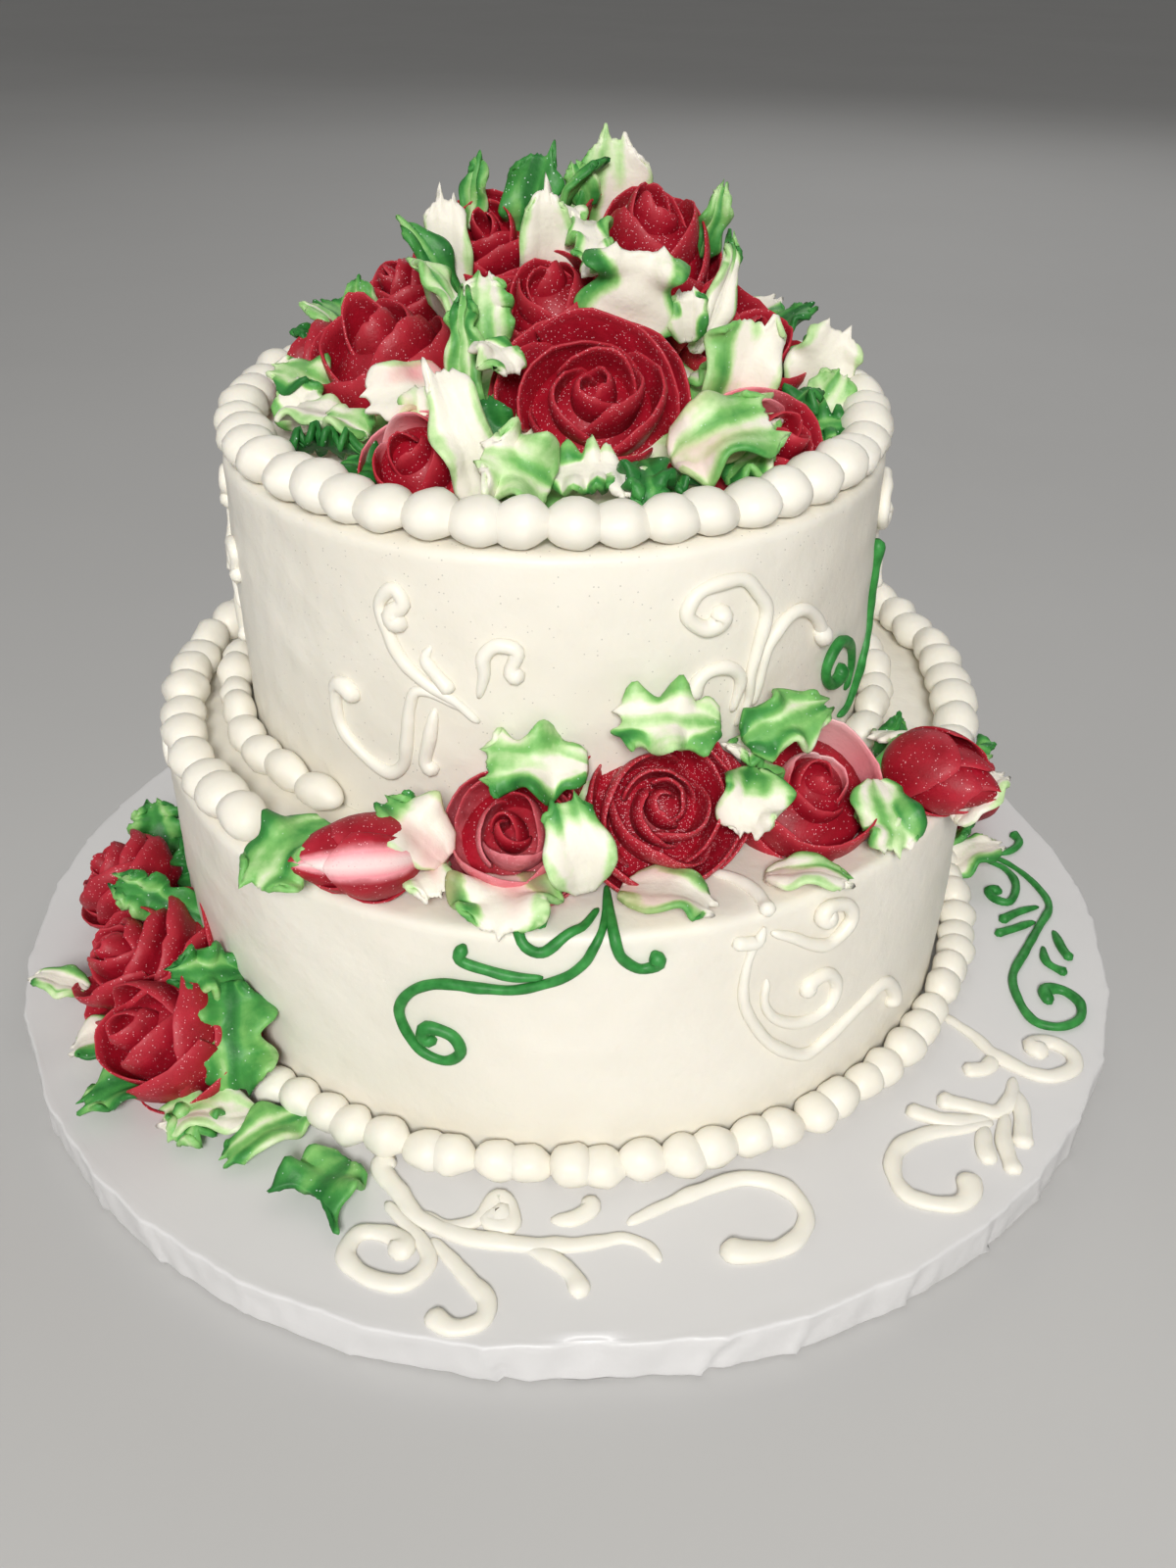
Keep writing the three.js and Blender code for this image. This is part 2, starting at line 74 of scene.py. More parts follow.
# How finely each kind of piece is made
TIER_SIDES, MOUND_SIDES, DRUM_SIDES = 300, 120, 720
BEAD_RINGS, BEAD_SIDES = 12, 18
PIPE_SIDES, PIPE_STEP = 12, 0.9
CORE_SIDES = 24
PETAL_ROWS, PETAL_COLUMNS = 12, 19
LEAF_ROWS, LEAF_COLUMNS = 27, 21
NEVER_ZERO = 1e-9


# Directions, unevenness and closed skins


def unit(ways):
    ways = np.asarray(ways, float)
    return ways / np.linalg.norm(ways, axis=-1, keepdims=True)


def turns_round(sides):
    return np.arange(sides) * 360 / sides


def facing(turn, lift=0):
    """The direction at a turn round a tier, lifted above level, both in degrees"""
    turn, lift = np.radians(turn), np.radians(lift)
    return np.stack([np.cos(lift) * np.sin(turn), -np.cos(lift) * np.cos(turn), np.sin(lift) + 0 * turn], -1)


def ease(value, low, high):
    """0 below low, 1 above high, and smooth between them"""
    share = np.clip((np.asarray(value, float) - low) / (high - low), 0, 1)
    return share * share * (3 - 2 * share)


def unevenness(points, size, seed):
    """Smooth seeded waves between about -1 and 1, size millimetres long"""
    draw = np.random.default_rng(seed)
    total = 0
    for _ in range(7):
        way = unit(draw.normal(size=3)) * 2 * np.pi / (size * draw.uniform(0.7, 1.5))
        total = total + np.sin(points @ way + draw.uniform(0, 2 * np.pi))
    return total / 3


def through(knots, step):
    """A smooth curve through knots, with a point about every step"""
    knots = np.asarray(knots, float)
    padded = np.vstack([2 * knots[0] - knots[1], knots, 2 * knots[-1] - knots[-2]])
    curve = []
    for k in range(1, len(padded) - 2):
        before, start, end, after = padded[k - 1:k + 3]
        count = max(2, int(np.linalg.norm(end - start) / step))
        for share in np.arange(count) / count:
            curve.append(0.5 * (
                2 * start + (end - before) * share
                + (2 * before - 5 * start + 4 * end - after) * share ** 2
                + (3 * start - before - 3 * end + after) * share ** 3
            ))
    return np.array(curve + [knots[-1]])


class Icing:
    """The closed skins of one piece, in millimetres, with a value for each tint at each corner"""

    def __init__(self):
        self.points, self.faces, self.tints = [], [], {}

    def add(self, points, faces, **tints):
        start = len(self.points)
        self.points.extend(np.asarray(points, float).reshape(-1, 3))
        self.faces.extend(tuple(int(corner) + start for corner in face) for face in faces)
        for tint in tints:
            self.tints.setdefault(tint, [])
        for tint, values in self.tints.items():
            given = np.broadcast_to(tints.get(tint, 0.0), (len(self.points) - start,))
            values.extend([0.0] * (start - len(values)))
            values.extend(given)

    def rings(self, rings, **tints):
        """A closed skin over rings of points, filled at both ends"""
        rings = np.asarray(rings, float)
        count, corners = rings.shape[:2]
        index = np.arange(count * corners).reshape(count, corners)
        here, ahead = index[:-1], index[1:]
        quads = np.stack([here, np.roll(here, -1, 1), np.roll(ahead, -1, 1), ahead], -1)
        faces = quads.reshape(-1, 4).tolist() + [index[0][::-1].tolist(), index[-1].tolist()]
        self.add(rings, faces, **{tint: np.ravel(values) for tint, values in tints.items()})

    def sheet(self, front, thickness, **tints):
        """A closed sheet with rounded edges: a grid of points for its face, and its thickness there"""
        rows, columns = front.shape[:2]
        normal = unit(np.cross(np.gradient(front, axis=0), np.gradient(front, axis=1)) + NEVER_ZERO)
        half = 0.5 * np.broadcast_to(thickness, (rows, columns))[..., None]
        index = np.arange(rows * columns).reshape(rows, columns)
        quads = np.stack([index[:-1, :-1], index[:-1, 1:], index[1:, 1:], index[1:, :-1]], -1).reshape(-1, 4)
        rim = np.concatenate([index[0, :-1], index[:-1, -1], index[-1, :0:-1], index[:0:-1, 0]])
        within = index.copy()
        within[0], within[-1] = index[1], index[-2]
        within[:, 0], within[:, -1] = within[:, 1], within[:, -2]
        flat, inner = front.reshape(-1, 3)[rim], front.reshape(-1, 3)[within.reshape(-1)[rim]]
        bulge = flat + unit(flat - inner + NEVER_ZERO) * half.reshape(-1, 1)[rim] * 0.8
        behind, outermost = rows * columns, 2 * rows * columns
        here, ahead = np.arange(len(rim)), np.roll(np.arange(len(rim)), -1)
        faces = quads.tolist() + (quads[:, ::-1] + behind).tolist()
        for low, high in ((rim, outermost + here), (outermost + here, rim + behind)):
            faces += np.stack([low[ahead], low, high, high[ahead]], -1).tolist()
        both = {tint: np.ravel(np.broadcast_to(values, (rows, columns))) for tint, values in tints.items()}
        both = {tint: np.concatenate([values, values, values[rim]]) for tint, values in both.items()}
        skins = [(front + half * normal).reshape(-1, 3), (front - half * normal).reshape(-1, 3), bulge]
        self.add(np.concatenate(skins), faces, **both)

    def piece(self, name, finish, slot, *nodes):
        """The skins as an object of the scene, which stands for these nodes"""
        mesh = bpy.data.meshes.new(name)
        mesh.from_pydata((np.array(self.points) * MM).tolist(), [], self.faces)
        for tint, values in self.tints.items():
            attribute = mesh.attributes.new(tint, "FLOAT", "POINT")
            attribute.data.foreach_set("value", np.array(values, np.float32))
        shaped = bmesh.new()
        shaped.from_mesh(mesh)
        bmesh.ops.recalc_face_normals(shaped, faces=shaped.faces)
        shaped.to_mesh(mesh)
        shaped.free()
        mesh.shade_smooth()
        mesh.materials.append(finish)
        made = bpy.data.objects.new(name, mesh)
        bpy.context.scene.collection.objects.link(made)
        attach(made, "root")
        if nodes:
            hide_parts(*nodes)


# Finishes


def maths(operation, reflected=False):
    """What an operator of Value does: reflected is for a number on its left"""
    def worked(self, other):
        first, second = (other, self) if reflected else (self, other)
        return self.finish.node("ShaderNodeMath", {"operation": operation}, {0: first, 1: second})
    return worked


class Value:
    """A shader socket that arithmetic works on: each operator adds a Math node"""

    def __init__(self, finish, socket):
        self.finish, self.socket = finish, socket

    __add__ = __radd__ = maths("ADD")
    __sub__, __rsub__ = maths("SUBTRACT"), maths("SUBTRACT", reflected=True)
    __mul__ = __rmul__ = maths("MULTIPLY")
    __lt__, __gt__ = maths("LESS_THAN"), maths("GREATER_THAN")


class Finish:
    """A material and its shader, with one method for each kind of thing that feeds it"""

    def __init__(self, name, **constants):
        self.material = bpy.data.materials.new(name)
        self.material.use_nodes = True
        self.tree = self.material.node_tree
        self.shader = self.tree.nodes["Principled BSDF"]
        for socket, value in constants.items():
            self.shader.inputs[socket.replace("_", " ")].default_value = value

    def node(self, kind, settings, sockets, output=0):
        """A node of any kind: its settings are made first, then what its sockets hold or are fed by"""
        made = self.tree.nodes.new(kind)
        for setting, value in settings.items():
            if setting == "stops":
                ramp = made.color_ramp
                while len(ramp.elements) < len(value):
                    ramp.elements.new(0.5)
                for stop, (place, colour) in zip(ramp.elements, value):
                    stop.position, stop.color = place, (*colour, 1)
            else:
                setattr(made, setting, value)
        for socket, value in sockets.items():
            self.feed(made.inputs[socket], value)
        return Value(self, made.outputs[output])

    def feed(self, socket, value):
        if isinstance(value, Value):
            self.tree.links.new(value.socket, socket)
        else:
            socket.default_value = value

    def set(self, socket, value):
        self.feed(self.shader.inputs[socket], value)

    def tint(self, name):
        return self.node("ShaderNodeAttribute", {"attribute_name": name}, {}, "Fac")

    def place(self):
        return self.node("ShaderNodeTexCoord", {}, {}, "Object")

    def noise(self, size_mm, detail=3):
        sockets = {"Vector": self.place(), "Scale": 1 / (size_mm * MM), "Detail": detail}
        return self.node("ShaderNodeTexNoise", {}, sockets, "Fac")

    def ramp(self, share, *stops):
        return self.node("ShaderNodeValToRGB", {"stops": stops}, {"Fac": share})

    def mix(self, share, first, second):
        """Two colours mixed. The Mix node keeps its colours at sockets 6 and 7 and gives them at 2"""
        first = (*first, 1) if isinstance(first, tuple) else first
        second = (*second, 1) if isinstance(second, tuple) else second
        return self.node("ShaderNodeMix", {"data_type": "RGBA"}, {0: share, 6: first, 7: second}, 2)

    def flakes(self, size_mm, share, spread):
        """A mask of glitter flakes: this share of the cells holds one, which fills its cell by spread"""
        sockets = {"Vector": self.place(), "Scale": 1 / (size_mm * MM)}
        cells = self.node("ShaderNodeTexVoronoi", {}, sockets, "Distance")
        colour = Value(self, cells.socket.node.outputs["Color"])
        pick = self.node("ShaderNodeSeparateColor", {}, {"Color": colour})
        return (cells < spread) * (pick < share)

    def bump(self, height, depth_mm, strength):
        sockets = {"Height": height, "Distance": depth_mm * MM, "Strength": strength}
        self.set("Normal", self.node("ShaderNodeBump", {}, sockets))


BUTTERCREAM = dict(
    Subsurface_Weight=0.12, Subsurface_Scale=0.004, Subsurface_Radius=(1.0, 0.7, 0.4), IOR=1.42)


def smoothed_buttercream():
    """Ivory buttercream smoothed with a scraper: soft clouds of painted shade and painted light, pin holes
    and a dusting of glitter
    """
    finish = Finish("smoothed_buttercream", **BUTTERCREAM)
    painted_shade_ivory, painted_light_ivory, flake_and_glint = (0.80, 0.762, 0.665), (0.87, 0.835, 0.745), (0.42, 0.40, 0.36)
    # The ivory mixes a painted shade colour and a painted light colour in soft random clouds
    ivory = finish.ramp(finish.noise(45, 2), (0.3, painted_shade_ivory), (0.7, painted_light_ivory))
    glitter = finish.flakes(0.9, 0.10, 0.2) * finish.tint("dusted")
    finish.set("Base Color", finish.mix(glitter * 0.55, ivory, flake_and_glint))
    finish.set("Roughness", 0.36 + finish.noise(8) * 0.22 - glitter * 0.3)
    cells = finish.node("ShaderNodeTexVoronoi", {}, {"Vector": finish.place(), "Scale": 220.0}, "Distance")
    pin_holes = (cells < 0.07) * -0.8
    finish.bump(finish.noise(3.2, 4) + finish.noise(14, 2) * 1.5 + pin_holes, 0.35, 0.55)
    return finish.material


def piped_buttercream():
    """White icing as it leaves the tube: smooth, satin, a little brighter than the sides"""
    finish = Finish("piped_buttercream", **BUTTERCREAM)
    finish.set("Base Color", finish.mix(finish.noise(20, 2), (0.85, 0.808, 0.70), (0.91, 0.878, 0.79)))
    finish.set("Roughness", 0.34 + finish.noise(4) * 0.2)
    finish.bump(finish.noise(1.6, 3), 0.12, 0.5)
    return finish.material


def green_piping():
    finish = Finish("green_piping_icing", IOR=1.42)
    deep, bright = (0.012, 0.16, 0.022), (0.05, 0.32, 0.065)
    finish.set("Base Color", finish.ramp(finish.noise(3, 3), (0.3, deep), (0.75, bright)))
    finish.set("Roughness", 0.38 + finish.noise(2) * 0.2)
    finish.bump(finish.noise(1.2, 3), 0.15, 0.6)
    return finish.material


def rose_icing():
    """Deep red icing, lighter at petal rims where the icing is thin and where a painted highlight runs along
    them, pink to white where white icing ran in, with fine glitter whose pale specks are partly a painted
    glint
    """
    finish = Finish("rose_red_icing", Subsurface_Weight=0.08, Subsurface_Scale=0.003,
                    Subsurface_Radius=(1.0, 0.25, 0.2), IOR=1.4)
    deep, middling, bright = (0.25, 0.003, 0.011), (0.39, 0.006, 0.021), (0.50, 0.013, 0.036)
    thin_rim_and_highlight, flake_and_glint = (0.57, 0.04, 0.062), (0.86, 0.42, 0.46)
    pink, nearly_white = (0.87, 0.31, 0.35), (0.93, 0.82, 0.78)
    none, all_of_it = (0.0, 0.0, 0.0), (1.0, 1.0, 1.0)
    red = finish.ramp(finish.noise(6, 3), (0.25, deep), (0.6, middling), (0.85, bright))
    # The rim colour is partly thinner icing and partly a painted highlight along each petal's edge
    rim_highlighted = finish.mix(finish.tint("edge") * (0.3 + finish.noise(2.5) * 0.5), red, thin_rim_and_highlight)
    blush = finish.tint("blush")
    streaks = finish.ramp(blush * (0.55 + finish.noise(3, 4) * 0.9), (0.2, none), (0.75, all_of_it))
    blushed = finish.mix(streaks, rim_highlighted, finish.mix(blush - 0.9, pink, nearly_white))
    # The pale flakes are glitter, their brightness partly a painted glint
    glitter = finish.flakes(0.4, finish.tint("sparkle") * 0.2 + 0.05, 0.32)
    finish.set("Base Color", finish.mix(glitter, blushed, flake_and_glint))
    finish.set("Roughness", 0.42 + finish.noise(1.5) * 0.16 - glitter * 0.26)
    finish.bump(finish.noise(1.1, 4) + finish.noise(0.45, 2) * 0.5, 0.18, 0.6)
    return finish.material


def leaf_icing():
    """Icing from a bag filled half green and half white: the tint green says how much of each shows"""
    finish = Finish("variegated_leaf_icing", Subsurface_Weight=0.1, Subsurface_Scale=0.003,
                    Subsurface_Radius=(0.8, 1.0, 0.5), IOR=1.42)
    white, lime, mid_green = (0.88, 0.84, 0.73), (0.58, 0.78, 0.40), (0.22, 0.52, 0.14)
    leaf_green, dark_green = (0.055, 0.29, 0.055), (0.016, 0.155, 0.026)
    pink, flake_and_glint = (0.80, 0.27, 0.30), (0.75, 0.9, 0.85)
    green = finish.tint("green")
    streaked = finish.ramp(green + (finish.noise(2.6, 4) - 0.5) * 0.34, (0.06, white), (0.26, lime),
                           (0.48, mid_green), (0.74, leaf_green), (1.0, dark_green))
    blushed = finish.mix(finish.tint("pink") * (0.4 + finish.noise(4) * 0.9), streaked, pink)
    # The pale flakes are glitter, their brightness partly a painted glint
    glitter = finish.flakes(0.8, 0.10, 0.22) * green
    finish.set("Base Color", finish.mix(glitter * 0.7, blushed, flake_and_glint))
    finish.set("Roughness", 0.4 + finish.noise(2) * 0.2 - glitter * 0.25)
    finish.bump(finish.noise(1.5, 4), 0.25, 0.7)
    return finish.material


def drum_foil():
    """White paper-backed foil, smooth on top and creased where it is pleated round the edge"""
    finish = Finish("drum_foil", IOR=1.45)
    finish.set("Base Color", finish.mix(finish.noise(60, 2), (0.68, 0.672, 0.67), (0.74, 0.732, 0.725)))
    finish.set("Roughness", 0.32 + finish.noise(12, 3) * 0.16)
    creases = finish.tint("creased") * finish.noise(7, 4)
    finish.bump(finish.noise(26, 2) + finish.noise(2.2, 2) * 0.08 + creases, 0.5, 0.5)
    return finish.material


def pale_table():
    finish = Finish("pale_table")
    finish.set("Base Color", finish.mix(finish.noise(300, 3), (0.50, 0.495, 0.485), (0.55, 0.545, 0.535)))
    finish.set("Roughness", 0.6 + finish.noise(40) * 0.15)
    return finish.material


SMOOTHED, PIPED, GREEN_LINE = smoothed_buttercream(), piped_buttercream(), green_piping()
ROSE_RED, LEAF_GREEN, FOIL = rose_icing(), leaf_icing(), drum_foil()


# The drum and the tiers


def turned(tier, profile, sides, unevenly):
    """Rings round a tier's middle for a profile of (radius, height), each point moved as unevenly says"""
    turns = turns_round(sides)
    rings = []
    for radius, height in profile:
        ring = facing(turns) * radius + (tier.x, tier.y, height)
        rings.append(ring + unevenly(ring, turns, radius, height))
    return np.array(rings)


def rounded(points, bend, arc=6):
    """A profile of (radius, height) with its corners rounded off by bend millimetres"""
    points = [np.array(point, float) for point in points]
    line = [points[0]]
    for before, corner, after in zip(points, points[1:], points[2:]):
        cut = min(bend, np.linalg.norm(before - corner) / 2.1, np.linalg.norm(after - corner) / 2.1)
        start = corner + unit(before - corner) * cut
        end = corner + unit(after - corner) * cut
        for share in np.linspace(0, 1, arc):
            line.append((1 - share) ** 2 * start + 2 * share * (1 - share) * corner + share ** 2 * end)
    return line + [points[-1]]


def filled_in(line, step):
    """The line with more points, none further than step from the next"""
    full = [line[0]]
    for start, end in zip(line, line[1:]):
        count = max(1, math.ceil(np.linalg.norm(end - start) / step))
        full.extend(start + (end - start) * k / count for k in range(1, count + 1))
    return full


def tier_of_cake(node, tier, seed, dusted):
    """A tier smoothed by hand: its sides and top wave a little, and its top edge is soft"""
    outline = [(0.5, tier.base), (tier.radius - 1, tier.base), (tier.radius, tier.base + 1)]
    outline += [(tier.radius + 0.2, (tier.base + tier.top) / 2), (tier.radius - 0.4, tier.top)]
    profile = filled_in(rounded(outline + [(0.5, tier.top)], 2.6), 2.5)

    def unevenly(ring, turns, radius, height):
        side = ease(radius, tier.radius - 5, tier.radius - 1)
        wave = 0.30 * unevenness(ring, 38, seed) + 0.12 * unevenness(ring, 11, seed + 1)
        drag = 0.10 * unevenness(ring * (1, 1, 5), 60, seed + 2)
        lifted = wave * (1 - side) * ease(height, tier.base, tier.top)
        return facing(turns) * ((wave + drag) * side)[:, None] + UP * lifted[:, None]

    front = np.clip(np.cos(np.radians(turns_round(TIER_SIDES) - 6)) * 1.3 - 0.15, 0, 1)
    icing = Icing()
    icing.rings(turned(tier, profile, TIER_SIDES, unevenly), dusted=np.tile(dusted * front, len(profile)))
    icing.piece(node + "_icing", SMOOTHED, "icing", node)


def mound_of_icing():
    """The heap of ruffled icing that the roses on the top tier stand in"""
    icing = Icing()
    rise = [(0.02, -0.2), (1, -0.2), (1, 0.03), (0.8, 0.22), (0.5, 0.56), (0.3, 0.84), (0.02, 0.97)]
    profile = filled_in(rounded([(r * MOUND.radius, UPPER.top + h * MOUND.height) for r, h in rise], 6), 1.6)

    def unevenly(ring, turns, radius, height):
        return facing(turns) * (1.5 * unevenness(ring, 16, 61) + 0.9 * unevenness(ring, 6, 62))[:, None]

    rings = turned(MOUND, profile, MOUND_SIDES, unevenly)
    icing.rings(rings, green=np.clip(0.34 + 0.38 * unevenness(rings.reshape(-1, 3), 15, 63), 0, 0.8))
    icing.piece("mound_icing", LEAF_GREEN, "icing", "upper_tier")


def wrapped_drum():
    """A round board under foil: the foil is pleated down the edge, with one dent at the front"""
    draw = np.random.default_rng(17)
    turns = turns_round(DRUM_SIDES)
    pleats = np.cumsum(draw.uniform(5.5, 14, 60))
    pleats = pleats[pleats < 357]
    slants = draw.uniform(-2.2, 2.2, len(pleats))
    steps = draw.uniform(0.35, 1.3, len(pleats)) ** 1.5
    dent = np.exp(-(((turns + 180) % 360 - 180 - 1.5) / 2.2) ** 2)

    def unevenly(ring, turns, radius, height):
        edge = ease(radius, DRUM.radius - 3, DRUM.radius - 0.5)
        down = np.clip((DRUM.top - height) / DRUM.top, 0, 1)
        folds = pleats + slants * down
        last = np.searchsorted(folds, turns) - 1
        start, step = folds[last], steps[last] * (0.3 + 0.9 * down)
        width = (folds[(last + 1) % len(folds)] - start) % 360
        along = ((turns - start) % 360) / width
        flat = np.radians(width) ** 2 * DRUM.radius / 2 * along * (1 - along)
        tuck = step * np.clip(1 - along * width / 2.2, 0, 1)
        tuck = tuck - 0.35 * step * np.clip(1 - (1 - along) * width, 0, 1)
        crumple = 0.18 * unevenness(ring, 8, 71) + 0.08 * unevenness(ring, 4, 72)
        inward = crumple - 1.25 * np.minimum(flat, 1.1) - tuck - 1.5 * dent * (1.2 - down)
        sag = 0.12 * unevenness(ring, 60, 73) * (1 - edge) - (0.9 * dent + 0.25 * tuck) * edge
        pushed, lowered = inward * edge - 0.25 * edge, sag * ease(radius, 2, 20) * (height > 1)
        return facing(turns) * pushed[:, None] + UP * lowered[:, None]

    outline = [(0.5, DRUM.base), (DRUM.radius - 0.8, DRUM.base), (DRUM.radius - 0.2, DRUM.base + 1)]
    outline += [(DRUM.radius, DRUM.top), (0.5, DRUM.top)]
    profile = filled_in(rounded(outline, 0.8, 4), 2.4)
    profile = profile[:1] + [point for point in profile if point[0] > DRUM.radius - 9] + profile[-1:]
    side = [float(ease(radius, DRUM.radius - 5, DRUM.radius)) for radius, _ in profile]
    icing = Icing()
    icing.rings(turned(DRUM, profile, DRUM_SIDES, unevenly), creased=np.repeat(side, DRUM_SIDES))
    icing.piece("drum_in_foil", FOIL, "drum", "board")


wrapped_drum()
tier_of_cake("lower_tier", LOWER, seed=11, dusted=0.0)
tier_of_cake("upper_tier", UPPER, seed=23, dusted=1.0)
mound_of_icing()


# Piped borders: beads that touch, each drawn out to a tail under the next


def bead(icing, middle, along, outward, size, draw):
    """A bead with a fat head and a tail that runs along under the next one"""
    up = np.cross(along, outward)
    up = up * np.sign(up[2])
    tilt = math.radians(draw.uniform(-7, 7))
    along = along * math.cos(tilt) + up * math.sin(tilt)
    length, across, tall = size
    rings = []
    for share in np.linspace(0.04, 0.96, BEAD_RINGS):
        reach = -math.cos(math.pi * share)
        girth = math.sin(math.pi * share) ** 0.85 * (1 - 0.26 * ease(reach, 0.1, 1))
        turn = np.arange(BEAD_SIDES) * 2 * np.pi / BEAD_SIDES
        ring = middle + along * reach * length / 2
        ring = ring + outward * (girth * across / 2 * np.cos(turn))[:, None]
        ring = ring + up * (girth * tall / 2 * np.sin(turn) - 0.06 * tall * ease(reach, 0.3, 1))[:, None]
        rings.append(ring + outward * (0.32 * unevenness(ring, 7, 31))[:, None])
    icing.rings(rings)


def bead_border(node, tier, place, start, end, beads, width, height, backwards=False):
    """Beads side by side round a tier, inside its rim or against its foot, smaller at the narrow back"""
    draw = np.random.default_rng(len(node) * 7 + beads)
    low = foot_of(node)
    icing = Icing()
    pitch = (end - start) / beads
    for k in range(beads):
        turn = start + pitch * (k + 0.5) + draw.uniform(-0.16, 0.16) * pitch
        squeeze = 1 - 0.32 * max(0.0, -math.cos(math.radians(turn)))
        across = width * squeeze * draw.uniform(0.88, 1.07)
        radius = tier.radius + (0.8 - across / 2 if place == "rim" else 0.3 + across / 2)
        tall = height * draw.uniform(0.9, 1.1)
        outward = facing(turn)
        along = facing(turn + 90) * (-1 if backwards else 1)
        middle = np.array([tier.x, tier.y, low + 0.46 * tall]) + outward * radius
        length = math.radians(pitch) * radius * draw.uniform(1.3, 1.42)
        bead(icing, middle, along, outward, (length, across, tall), draw)
    icing.piece(node + "_beads", PIPED, "icing", node)


bead_border("upper_top_border", UPPER, "rim", 0, 360, 48, 13.2, 10.6)
bead_border("upper_base_border", UPPER, "foot", 62, 324, 36, 9, 9.4)
bead_border("lower_top_border", LOWER, "rim", 66, 316, 42, 11.6, 10.2, backwards=True)
bead_border("lower_base_border_front", LOWER, "foot", -42, 96, 31, 10.4, 9.2)
bead_border("lower_base_border_back", LOWER, "foot", 148, 256, 24, 10.4, 9.2)


# Scrollwork: lines piped on the sides, the ledge and the drum


def side_knots(tier, *knots, turned_by=0):
    """Knots of (turn, height) on a tier's side, each with the way out of the icing"""
    outward = [facing(turn + turned_by) for turn, _ in knots]
    return [(*(np.array([tier.x, tier.y, height]) + out * tier.radius), *out)
            for (_, height), out in zip(knots, outward)]


def top_knots(tier, *knots):
    """Knots of (x, y) on a tier's top, each with the way out of the icing"""
    return [(x, y, tier.top, 0, 0, 1) for x, y in knots]


def scroll(icing, knots, girth, blob, tall):
    """A piped line: full at the blob, which is at its start or its end, and drawn out thin at the other"""
    curve = through(knots, PIPE_STEP)
    places, outward = curve[:, :3], unit(curve[:, 3:])
    share = np.linspace(0, 1, len(curve))
    from_blob = share if blob == "start" else 1 - share
    radius = girth / 2 * (0.8 + 0.42 * np.exp(-(from_blob / 0.1) ** 2) - 0.3 * ease(from_blob, 0.6, 1))
    radius = radius * (1 + 0.08 * unevenness(places, 7, 5))
    to_end = np.minimum(np.arange(len(curve)), np.arange(len(curve))[::-1]) * PIPE_STEP
    radius = radius * np.sqrt(np.clip(1 - (1 - np.clip(to_end / (girth * 0.5), 0.08, 1)) ** 2, 0, 1))
    side = unit(np.cross(unit(np.gradient(places, axis=0)), outward))
    turn = np.arange(PIPE_SIDES) * 2 * np.pi / PIPE_SIDES
    rings = []
    for k in range(len(curve)):
        middle = places[k] + outward[k] * radius[k] * 0.46 * tall
        rings.append(middle + side[k] * (radius[k] * np.cos(turn))[:, None]
                     + outward[k] * (tall * radius[k] * np.sin(turn))[:, None])
    icing.rings(rings)


def scrolls(name, finish, slot, node, girth, lines, tall=0.92):
    icing = Icing()
    for knots, blob in lines:
        scroll(icing, knots, girth, blob, tall)
    icing.piece(name, finish, slot, node)


# Each line is its knots, (turn, height) on a side or (x, y) on a top, and the end that its blob is at

UPPER_WHITE = [
    ([(-22, 130), (-24, 133), (-22, 136), (-23.5, 139), (-26, 135), (-25, 129), (-23, 123), (-19, 118),
      (-15, 115), (-11, 110)], "start"),
    ([(-18, 127), (-19, 124), (-17, 120), (-15, 117)], "end"),
    ([(-11, 116), (-10, 122), (-10, 126), (-8, 129), (-5, 128), (-6, 123), (-4, 122)], "end"),
    ([(-32, 109), (-33.5, 112), (-36, 111), (-36, 102), (-32, 96), (-27, 93), (-24, 96), (-23, 103),
      (-22, 112), (-20, 116), (-13, 113)], "start"),
    ([(-18, 112), (-19, 105), (-20, 98), (-18, 96)], "end"),
    ([(25, 135), (25.5, 132), (23, 130.5), (20, 134), (21, 138), (24, 140), (29, 140), (32, 136),
      (34, 131), (33, 123), (32, 116), (32, 110), (30, 104)], "start"),
    ([(47, 121), (49, 117), (46, 124), (42, 128), (38, 127), (35, 122), (34, 115), (33, 108)], "start"),
    ([(21, 114), (23, 119), (27, 120), (30, 116), (29, 108)], "start"),
]
UPPER_GREEN = [
    ([(73, 129), (73, 118), (74, 108), (72, 100), (70, 96), (66, 93), (63, 90), (59, 90)], "start"),
    ([(57, 106), (56, 103), (53, 103), (51, 107), (52, 111), (55, 113), (60, 109), (62, 102),
      (61, 96)], "start"),
]
LOWER_WHITE = [
    ([(33, 71), (31, 73), (32, 75), (35, 73), (36, 68), (33, 64), (30, 66), (27, 70), (24, 73)], "start"),
    ([(48, 29), (48, 34), (45, 40), (40, 38), (35, 34), (31, 32), (26, 39), (23, 47), (21, 56),
      (21, 65), (22, 73)], "start"),
    ([(31, 51), (30, 54), (33, 55), (35, 50), (34, 44), (30, 43), (26, 47), (24, 53), (24, 60)], "start"),
    ([(23, 75), (22, 72), (19, 73)], "end"),
]
LEDGE_WHITE = [([(31, -79), (36, -82), (39.5, -86), (41.5, -91), (42, -94)], "end")]
LOWER_GREEN = [([(-12, 75), (-12.5, 71), (-9, 69), (-6, 68), (-3, 68)], "start")]
